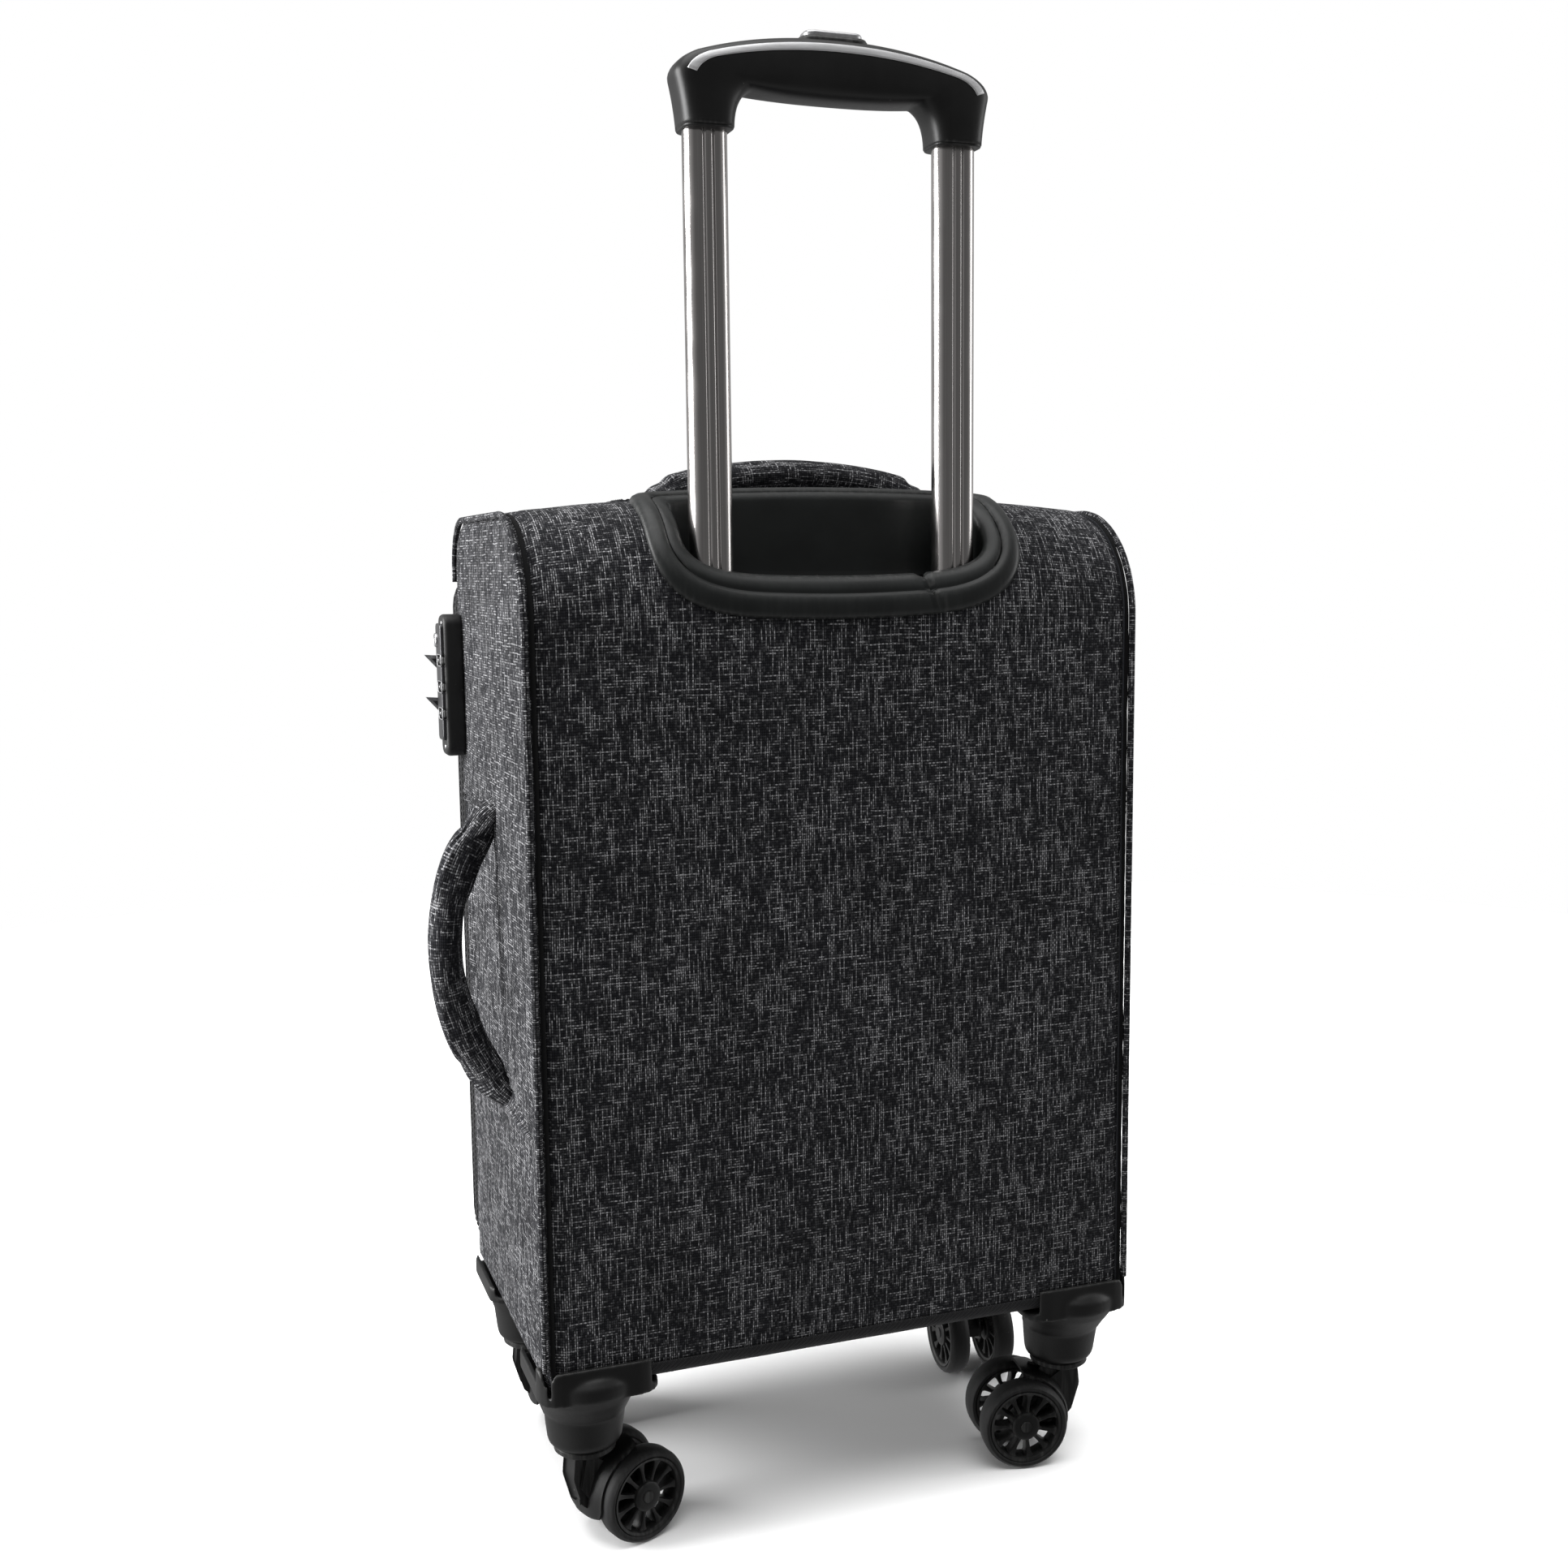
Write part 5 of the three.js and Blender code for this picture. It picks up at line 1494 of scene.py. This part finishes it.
LID_HALF = 165.0
LID_LOW, LID_HIGH = 103.0, 522.0
LID_CORNER = 22.0
LID_FACE = -223.0
ZIP_Y = -202.6
POCKETS = {
    "large": {"low": 122.0, "high": 388.0, "zip": 394.0, "depth": 9.0},
    "small": {"low": 401.0, "high": 494.0, "zip": 500.0, "depth": 6.0},
}


def panel_outline(half, low, high, corner, step=3.0):
    """A rounded rectangle in (x, z) with points about every step."""
    size = (2 * half, high - low)
    line = rounded_rect(*size, corner, (0, (low + high) / 2), 7)
    return resample(line, step, closed=True)


def cushion(name, body, half, low, high, corner, faces, roll, seed, replaces, materials,
            dome=1.0, ripple=0.4, slot="shell_fabric", step=4.0):
    """A soft panel in (x, z): a puffed outer face with rolled edges, and a flat inner face."""
    back, front = faces
    sign = 1.0 if front > back else -1.0
    thickness = abs(front - back)
    deep = min(thickness * 0.8, roll)
    inner_rows = np.arange(corner, (high - low) - corner, step)
    edge_rows = corner * (1 - np.cos(np.linspace(0, math.pi / 2, 9)))
    rows = np.concatenate([edge_rows[:-1], inner_rows, (high - low) - edge_rows[::-1]])
    rows = np.unique(np.round(rows, 3))
    columns = ease(int(2 * half / step), -1, 1, edge=0.08, fine=5)
    points = []
    for t in rows:
        rise = max(corner - t, corner - (high - low - t), 0.0)
        reach = half - corner + math.sqrt(max(corner**2 - rise**2, 0.01))
        row = at_height(reach * columns[:, None], low + t)
        points.append(at_depth(row, 0))
    points = np.array(points)
    x, z = points[..., 0], points[..., 2]
    outline = panel_outline(half, low, high, corner)
    flat = np.column_stack([x.ravel(), z.ravel()])
    away = np.array([np.min(np.hypot(*(outline - p).T)) for p in flat]).reshape(x.shape)
    height = -deep * (1 - smoothstep(0, roll * 1.1, away)) + dome * (smoothstep(2, 60, away) - 0.6)
    waves = unevenness(x, z, 52, seed) + 0.5 * unevenness(x, z, 15, seed + 2)
    height += smoothstep(1, 14, away) * ripple * waves
    outer = points.copy()
    outer[..., 1] = front + sign * height
    inner = points.copy()
    inner[..., 1] = back
    shape = Shape().lined(outer, inner)
    corners = [shape.points[c] for face in shape.faces for c in face]
    shape.uvs = [(x * MM, (z + y) * MM) for x, y, z in corners]
    obj = shape.build(name, body, materials, slot=slot, replaces=replaces)


def cord_round(name, body, half, low, high, corner, y, radius, material=None, slot="shell_fabric"):
    """Bound cord along a rounded rectangle."""
    path = at_depth(panel_outline(half, low, high, corner, 2.5), y)
    shape = Shape().tube(path, circle(radius, 12), closed=True, up=(0, 1, 0))
    return shape.build(name, body, [material or FABRIC_TRIM], slot=slot)


def stitch_round(name, body, half, low, high, corner, y, slot="shell_fabric"):
    """A row of stitches along a rounded rectangle on a face that looks forwards."""
    path = at_depth(panel_outline(half, low, high, corner, 1.5), y)
    return stitches(path, up=(0, -1, 0)).build(name, body, [THREAD], slot=slot)


def band_round(section, outline, normal):
    """Sweeps a closed section of (outwards, y) along a stretch of outline in (x, z)."""
    rings = [
        [(p[0] + n[0] * o, y, p[1] + n[1] * o) for o, y in section] for p, n in zip(outline, normal)
    ]
    return Shape().grid(rings, wrap_v=True, caps=True)


def make_front_border():
    """The shell's front wall round its opening: covered board, bound along the opening."""
    outer = evenly(panel_outline(163.4, 104.0, 520.5, 14.0, 4.0), 400)
    inner = evenly(panel_outline(150.0, 119.0, 503.0, 24.0, 4.0), 400)
    covered = ((0, -187.0), (0, -196.2), (0.08, -197.4), (0.5, -197.8), (0.9, -197.4), (1, -196.4))
    lined = ((1, -196.4), (1, -187.6), (0.5, -187.0), (0, -187.0))
    shape = Shape()
    for slot, rows in enumerate((covered, lined)):
        lines = [at_depth(outer * (1 - share) + inner * share, y) for share, y in rows]
        shape.grid(lines, wrap_v=True, slot=slot)
    corners = [shape.points[c] for face in shape.faces for c in face]
    shape.uvs = [(x * MM, z * MM) for x, _, z in corners]
    shape.build("front_border_covered", "case", [FABRIC, LINING], slot="shell_fabric",
                replaces=["front_border"])
    cord_round("opening_binding", "case", 150.4, 118.6, 503.4, 24.0, -196.6, 1.7)
    stitch_round("opening_stitch", "case", 154.0, 115.0, 507.0, 26.0, -197.7)


def make_lid():
    """Zipped lid: padded gusset, quilted face, bound edges and two pockets with zips."""
    outline = panel_outline(LID_HALF, LID_LOW, LID_HIGH, LID_CORNER, 3.0)
    normal = outline_normals(outline)
    along = arc_lengths(outline)
    bulge = np.array([0.5 * noise.noise(Vector((d * 14, 3.0, 0.0))) for d in along])
    depths = np.concatenate([[-198.7, -199.4, -200.6], np.linspace(-203, -214, 7), [-216, -217.6, -218.5]])
    puff = np.array([-1.0, -0.3, 0.0, 0.3, 0.6, 0.8, 0.9, 0.9, 0.8, 0.6, 0.3, -0.3, -1.2])
    rings = []
    for p, n, b in zip(outline, normal, bulge):
        o = puff * (1 + b) - 0.2
        rings.append(np.column_stack([p[0] + n[0] * o, depths, p[1] + n[1] * o]))
    gusset = Shape().grid(rings, wrap_u=True)
    inner = [
        [(p[0] - 3.8 * n[0], y, p[1] - 3.8 * n[1]) for y in (-218.5, -208.0, -198.7)]
        for p, n in zip(outline, normal)
    ]
    first = len(gusset.points)
    gusset.grid(inner, wrap_u=True, slot=1)
    rows, deep = len(outline), len(depths)
    for i in range(rows):
        j = (i + 1) % rows
        for a, b in ((0, 2), (deep - 1, 0)):
            corners = (i * deep + a, j * deep + a, first + j * 3 + b, first + i * 3 + b)
            gusset.face(corners, [(0, 0), (0.003, 0), (0.003, 0.004), (0, 0.004)])
    obj = gusset.build("lid_gusset", "lid", [FABRIC, LINING], slot="shell_fabric", replaces=["lid_wall"])
    cushion("lid_face_quilted", "lid", LID_HALF, LID_LOW, LID_HIGH, LID_CORNER, (-219.1, -222.8), 3.4, 17.2,
            ["lid_panel"], [FABRIC, LINING], dome=0.6, ripple=0.3)
    cord_round("lid_front_piping", "lid", LID_HALF + 0.4, LID_LOW - 0.4, LID_HIGH + 0.4, LID_CORNER,
               -220.2, 1.7)
    stitch_round("lid_face_stitch", "lid", LID_HALF - 7, LID_LOW + 7, LID_HIGH - 7, LID_CORNER - 5, -222.9)
    for name, facts in POCKETS.items():
        low, high, depth = facts["low"], facts["high"], facts["depth"]
        front = LID_FACE - 0.35 - depth
        cushion(f"pocket_{name}_padded", "lid", 148.0, low, high, 14.0, (LID_FACE + 0.6, front + 0.6),
                depth, 23.0 + depth, [f"pocket_{name}"], [FABRIC, LINING], dome=1.4, ripple=0.7)
        cord_round(f"pocket_{name}_binding", "lid", 148.4, low - 0.4, high + 0.4, 14.0, LID_FACE - 0.9, 1.5)
        stitch_round(f"pocket_{name}_stitch", "lid", 140.0, low + 8, high - 8, 9.0, front + 0.75)
        make_pocket_zip(name, facts["zip"])


def coil(places, across, width, radius):
    """Nylon zip coil: one short bowed bar for each tooth."""
    shape = Shape()
    for k, (p, a) in enumerate(zip(places, across)):
        sign = 1 if k % 2 else -1
        ends = [p - a * width * 1.2, p + a * width * 0.2 * sign, p + a * width * 1.2]
        shape.tube(ends, circle(radius, 6), up=(0.3, 0.4, 0.87))
    return shape


def straight_coil(name, xs, y, z, slot):
    """The coil of a zip of the lid that runs along x."""
    places = np.column_stack([xs, np.full(len(xs), y), np.full(len(xs), z)])
    across = np.tile((0.12, 0, 1.0), (len(xs), 1))
    coil(places, across, 0.9, 0.42).build(name, "lid", [COIL], slot=slot)


def make_pocket_zip(name, z):
    """Zip above a pocket: ribbed tape, coil, slider with a long pull, and end stops."""
    y = LID_FACE - 0.2
    for edge, side in (("upper", 1), ("lower", -1)):
        strip = rounded_rect(293, 4.4, 0.8, (0, z + side * 2.6), 2)
        strip = resample(strip, 6.0, closed=True)[::-1]
        Shape().slab(strip, -y - 0.5, -y + 0.5, edge=0.2, place=facing_front).build(
            f"pocket_zip_tape_{name}_{edge}", "lid", [TAPE], slot="shell_fabric", smooth=False
        )
    straight_coil(f"pocket_zip_coil_{name}", np.arange(-136, 137, 1.9), y - 0.9, z, "shell_fabric")
    node = f"pocket_zip_slider_{name}"
    low, high = case_box(node)
    head = high[0] - 6
    back = high[1]
    body = Shape()
    plate = rounded_rect(11.6, 6.4, 2.6, (head, z), 5)
    post = rounded_rect(3, 2, 0.8, (head + 3, z), 4)
    layers = ((plate, -0.2, 1.1, 0.4), (plate, 1.9, 3.2, 0.5), (post, 0.6, 2.4, 0.2))
    for line, start, end, edge in layers:
        body.slab(line, -back + start, -back + end, edge=edge, place=facing_front)
    arch = [(head + 4, back - 3, z), (head + 2, back - 5.0, z), (head - 3, back - 5.0, z),
            (head - 4.5, back - 3, z)]
    body.tube(spline(arch, 5), circle(0.8, 10), up=(0, 0, 1))
    body.build(f"pocket_slider_body_{name}", f"pocket_slider_{name}", [SATIN], slot="satin_metal",
               replaces=[node])
    outer = resample(rounded_rect(26, 6, 2.6, (head - 14, z), 6), 0.9, closed=True)
    hole = resample(rounded_rect(12, 2.6, 1.2, (head - 18, z), 6), 0.9, closed=True)
    hole = evenly(hole, len(outer))
    rings = [at_depth(line, low[1] + shift)
             for line, shift in ((outer, 1.7), (outer, 0.1), (hole, 0.1), (hole, 1.7))]
    pull = Shape().grid(rings, wrap_u=True, wrap_v=True)
    pull.build(f"pocket_pull_{name}", f"pocket_slider_{name}", [SATIN], smooth=False, slot="satin_metal")
    for side, sign in SIDES[::-1]:
        stop = rounded_rect(3, 5.4, 0.8, (sign * 145.4, z), 3)
        Shape().slab(stop[::-1], -y + 0.3, -y + 1.7, edge=0.4, place=facing_front).build(
            f"pocket_zip_stop_{name}_{side}", "lid", [SATIN], slot="satin_metal"
        )


def make_main_zip():
    """Tapes and coil of the zip that runs round all but the lid's hinge side."""
    outline = panel_outline(LID_HALF, LID_LOW, LID_HIGH, LID_CORNER, 2.0)
    normal = outline_normals(outline)
    right = outline[:, 0] > -158
    first = next(k for k in range(len(right)) if right[k] and not right[k - 1])
    order = [(first + k) % len(right) for k in range(int(right.sum()))]
    outline, normal = outline[order], normal[order]
    shell_side = [(3.9, -189), (3.7, -196.6), (3.1, -199.8), (1.9, -201.4), (1.3, -200.9), (2.3, -199.4),
                  (2.9, -196.4), (3.1, -189)]
    lid_side = [(1.9, -203.9), (3.0, -205.4), (3.0, -211), (1.6, -215), (0.9, -214.6), (2.2, -210.8),
                (2.2, -205.9), (1.3, -204.4)]
    for name, body, section in (("shell", "case", shell_side), ("lid", "lid", lid_side)):
        tape = band_round(section, outline, normal)
        tape.build(f"main_zip_tape_{name}", body, [TAPE], slot="shell_fabric")
    line = resample(outline + normal * 2.0, 2.3)
    ahead = np.gradient(line, axis=0)
    ahead /= np.linalg.norm(ahead, axis=1)[:, None]
    places = at_depth(line, ZIP_Y)
    across = np.column_stack([0.16 * ahead[:, 0], np.ones(len(line)), 0.16 * ahead[:, 1]])
    for start, (body, shift, name) in enumerate((("case", 0.75, "shell"), ("lid", -0.75, "lid"))):
        kept = slice(start, None, 2)
        coil(places[kept] + (0, shift, 0), across[kept], 0.85, 0.55).build(
            f"main_zip_coil_{name}", body, [COIL], slot="shell_fabric"
        )
    for name, body, o, y in (("shell", "case", 3.95, -195.5), ("lid", "lid", 3.15, -208.5)):
        made = stitches(at_depth(outline + normal * o, y), up=(0.6, 0, 0.6))
        made.build(f"main_zip_stitch_{name}", body, [THREAD], slot="shell_fabric")


def make_hinge_strip():
    """Folded fabric that joins the lid to the shell along the left side."""
    zs = np.linspace(LID_LOW + 16, LID_HIGH - 18, 130)
    section = [(-169.5, -188), (-169.9, -195), (-169.7, -199.5), (-168.9, -201.4), (-168.0, -203),
               (-167.0, -208), (-166.3, -214), (-165.7, -213.8), (-166.3, -207.8), (-167.3, -202.9),
               (-168.2, -201.0), (-168.9, -199.2), (-169.1, -195), (-168.9, -188)]
    rings = []
    for z in zs:
        sway = 0.25 * noise.noise(Vector((z * 0.05, 1.0, 4.0)))
        rings.append([(x + sway, y, z) for x, y in section])
    strip = Shape().grid(rings, wrap_v=True, caps=True)
    strip = strip.build("lid_hinge_strip", None, [TAPE], slot="shell_fabric")
    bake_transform(strip)


def make_divider():
    """Lining panel behind the lid's face, with a zipped slot and bound edge."""
    cushion("lid_divider_lined", "lid", 155.0, 113.0, 512.0, 14.0, (-218.6, -217.4), 2.5, 31.0,
            ["lid_divider"], [LINING, LINING], dome=0.3, ripple=0.25, slot="lining_fabric")
    cord_round("lid_divider_binding", "lid", 155.2, 112.8, 512.2, 14.0, -217.6, 1.0, WEBBING,
               "lining_fabric")
    tape = resample(rounded_rect(270, 15, 1.2, (0, 440), 2), 6.0, closed=True)
    Shape().slab(tape, -217.3, -216.5, edge=0.2, place=along_y).build(
        "divider_zip_tape", "lid", [TAPE], slot="lining_fabric", smooth=False
    )
    straight_coil("divider_zip_coil", np.arange(-131, 132, 2.0), -216.1, 440.0, "lining_fabric")


def make_interior():
    """Quilted cover over the trolley tubes, crossed packing straps and their buckle."""
    cushion("trolley_cover_lined", "case", 163.6, 105.0, 491.0, 10.0, (-33.1, -35.0), 3.0, 41.0,
            ["trolley_cover"], [LINING, LINING], dome=0.7, ripple=0.8, slot="lining_fabric")
    cord_round("trolley_cover_binding", "case", 161.5, 107.0, 489.0, 10.0, -34.2, 1.2, WEBBING,
               "lining_fabric")
    stitch_round("trolley_cover_stitch", "case", 156.0, 113.0, 483.0, 8.0, -35.1, slot="lining_fabric")
    low, high = case_box("packing_straps")
    middle = (low[2] + high[2]) / 2
    flat = rounded_rect(24, 1.5, 0.6, corner=2)
    crossed_box = np.array([(-8, -8), (8, -8), (8, 8), (-8, 8), (-8, -8), (8, 8), (8, -8), (-8, 8)], float)
    for name, sign, lift in (("rising", 1, 0.0), ("falling", -1, 0.9)):
        t = np.linspace(-1, 1, 90)
        depth = -36.1 - lift * np.exp(-((t / 0.2) ** 2)) + 0.25 * np.sin(7 * t)
        path = np.column_stack([140 * sign * t, depth, middle + 150 * t])
        strap = Shape().tube(path, flat, up=(0, 1, 0))
        strap.uvs = [(v, u) for u, v in strap.uvs]
        replaces = ["packing_straps"] if sign > 0 else []
        strap.build(f"packing_strap_{name}", "case", [WEBBING], slot="lining_fabric", replaces=replaces)
        angle = math.atan2(150, 140 * sign)
        turn = np.array([[math.cos(angle), math.sin(angle)], [-math.sin(angle), math.cos(angle)]])
        for end, place in ((-1, "low"), (1, "high")):
            corner = np.array((140 * sign * end * 0.92, middle + 150 * end * 0.92))
            path = at_depth(resample(crossed_box @ turn + corner, 1.2), -37.1)
            stitches(path, up=(0, -1, 0)).build(
                f"strap_end_stitch_{name}_{place}", "case", [THREAD], slot="lining_fabric"
            )
    make_buckle(case_box("strap_buckle"))


def make_buckle(box):
    """Side-release buckle: socket, two sprung prongs, centre guide and webbing bars."""
    low, high = box
    z = (low[2] + high[2]) / 2
    back, front = -high[1], -low[1]
    shape = Shape()
    socket = [(-26, z - 12), (-27.6, z - 4), (-24, z + 1), (-27.6, z + 7), (-27, z + 14), (-21, z + 18.6),
              (2, z + 18.8), (6, z + 16), (6, z - 16), (2, z - 18.8), (-21, z - 18.6)]
    socket = resample(socket, 1.5, closed=True)[::-1]
    shape.slab(socket[::-1], back + 0.2, front - 0.2, edge=1.1, place=facing_front)
    plug = [(8, z - 16), (22, z - 18.4), (27.6, z - 15), (27.6, z + 15), (22, z + 18.4), (8, z + 16)]
    shape.slab(resample(plug, 1.5, closed=True), back + 0.4, front - 0.6, edge=1.0, place=facing_front)
    for side in (-1, 1):
        arm = [(6, z + side * 10), (-10, z + side * 14), (-16, z + side * 18.7), (-8, z + side * 18.9),
               (8, z + side * 15.5)]
        arm = resample(arm, 1.2, closed=True)
        arm = arm if side < 0 else arm[::-1]
        shape.slab(arm, back + 1.2, front - 1.4, edge=0.6, place=facing_front)
        bar = rounded_rect(3.2, 27, 1.4, (side * 22, z), 5)
        shape.slab(bar, front - 0.6, front + 0.2, edge=0.3, place=facing_front)
    guide = rounded_rect(20, 3, 1.4, (-6, z), 5)
    shape.slab(guide, front - 0.5, front + 0.25, edge=0.3, place=facing_front)
    shape.build("strap_buckle_moulded", "case", [PLASTIC], slot="black_plastic", replaces=["strap_buckle"])


make_front_border()
make_lid()
make_main_zip()
make_hinge_strip()
make_divider()
make_interior()


# ==== floor, light and camera =================================================================

FLOOR_RADIUS = 1.9
# Fitted to the photograph: place in the case's frame in millimetres, turn, dip and roll in degrees.
CAMERA_PLACE = (338.56, 837.31, 523.66)
CAMERA_ANGLES = (160.1415, 7.2173, -0.6468)
LENS = 39.985


def make_floor():
    g = Graph("studio_floor")
    own = g.own()
    tone = g.ramp(g.noise(own, 1.3, 3.0), 0.3, 0.7, 0.955, 0.985)
    rough = g.ramp(g.noise(own, 40.0), 0.3, 0.7, 0.8, 0.9)
    g.finish(g.scale((1.0, 1.0, 1.0), tone), rough, Specular_IOR_Level=0.1)
    mesh = bpy.data.meshes.new("studio_floor")
    rim = circle(FLOOR_RADIUS, 96)
    mesh.from_pydata([(x, y, 0.0) for x, y in rim.tolist()], [], [tuple(range(len(rim)))])
    mesh.materials.append(g.material)
    floor = bpy.data.objects.new("studio_floor", mesh)
    bpy.context.scene.collection.objects.link(floor)
    floor.visible_diffuse = False
    floor.visible_glossy = False
    return floor


def area_light(name, place, aim, size, power, colour=(1, 1, 1)):
    lamp = bpy.data.lights.new(name, "AREA")
    lamp.shape = "RECTANGLE"
    lamp.size, lamp.size_y = size
    lamp.energy = power
    lamp.color = colour
    obj = bpy.data.objects.new(name, lamp)
    bpy.context.scene.collection.objects.link(obj)
    obj.location = place
    obj.rotation_mode = "QUATERNION"
    obj.rotation_quaternion = (Vector(aim) - Vector(place)).to_track_quat("-Z", "Y")
    obj.visible_camera = False
    return obj


def make_light(floor):
    """White all round, darker behind the camera, with a large softbox at the case's right and one above."""
    world = bpy.data.worlds.new("studio")
    bpy.context.scene.world = world
    world.use_nodes = True
    tree = world.node_tree
    tree.nodes.clear()
    place = tree.nodes.new("ShaderNodeTexCoord")
    split = tree.nodes.new("ShaderNodeSeparateXYZ")
    tree.links.new(place.outputs["Generated"], split.inputs[0])
    fade = tree.nodes.new("ShaderNodeMapRange")
    fade.interpolation_type = "SMOOTHSTEP"
    tree.links.new(split.outputs[1], fade.inputs[0])
    for socket, value in zip(fade.inputs[1:5], (0.2, 0.85, 0.42, 0.13)):
        socket.default_value = value
    seen = tree.nodes.new("ShaderNodeLightPath")
    strength = tree.nodes.new("ShaderNodeMix")
    strength.data_type = "FLOAT"
    tree.links.new(seen.outputs["Is Camera Ray"], strength.inputs[0])
    tree.links.new(fade.outputs[0], strength.inputs[2])
    strength.inputs[3].default_value = 1.0
    back = tree.nodes.new("ShaderNodeBackground")
    back.inputs[0].default_value = (1, 1, 1, 1)
    tree.links.new(strength.outputs[0], back.inputs[1])
    output = tree.nodes.new("ShaderNodeOutputWorld")
    tree.links.new(back.outputs[0], output.inputs[0])
    area_light("softbox_right", (2.3, -0.55, 1.0), (0, 0, 0.35), (1.6, 1.8), 96)
    area_light("softbox_above", (0.3, 0.3, 2.9), (0, 0, 0.2), (2.6, 2.6), 42)
    area_light("softbox_left", (-2.4, 0.4, 1.0), (0, 0, 0.4), (1.0, 1.8), 12)
    sun = bpy.data.lights.new("floor_wash", "SUN")
    sun.energy = 3.6
    sun.angle = math.radians(70)
    wash = bpy.data.objects.new("floor_wash", sun)
    bpy.context.scene.collection.objects.link(wash)
    only_floor = bpy.data.collections.new("lit_by_the_wash")
    only_floor.objects.link(floor)
    wash.light_linking.receiver_collection = only_floor


def make_camera():
    """The photograph's viewing angle: a little right of the back panel and slightly from above."""
    turn, dip, roll = (math.radians(angle) for angle in CAMERA_ANGLES)
    ahead = Vector((-math.sin(turn) * math.cos(dip), math.cos(turn) * math.cos(dip), -math.sin(dip)))
    right = ahead.cross(Vector((0, 0, 1))).normalized()
    up = right.cross(ahead)
    right, up = right * math.cos(roll) + up * math.sin(roll), up * math.cos(roll) - right * math.sin(roll)
    lens = bpy.data.cameras.new("camera")
    lens.sensor_width = 36.0
    lens.lens = LENS
    camera = bpy.data.objects.new("camera", lens)
    bpy.context.scene.collection.objects.link(camera)
    turned = Matrix((right, up, -ahead)).transposed().to_4x4()
    turned.translation = Vector((np.array(CAMERA_PLACE) * MM + ORIGIN).tolist())
    camera.matrix_world = turned
    bpy.context.scene.camera = camera


make_light(make_floor())
make_camera()
bpy.context.scene.view_settings.view_transform = "Standard"
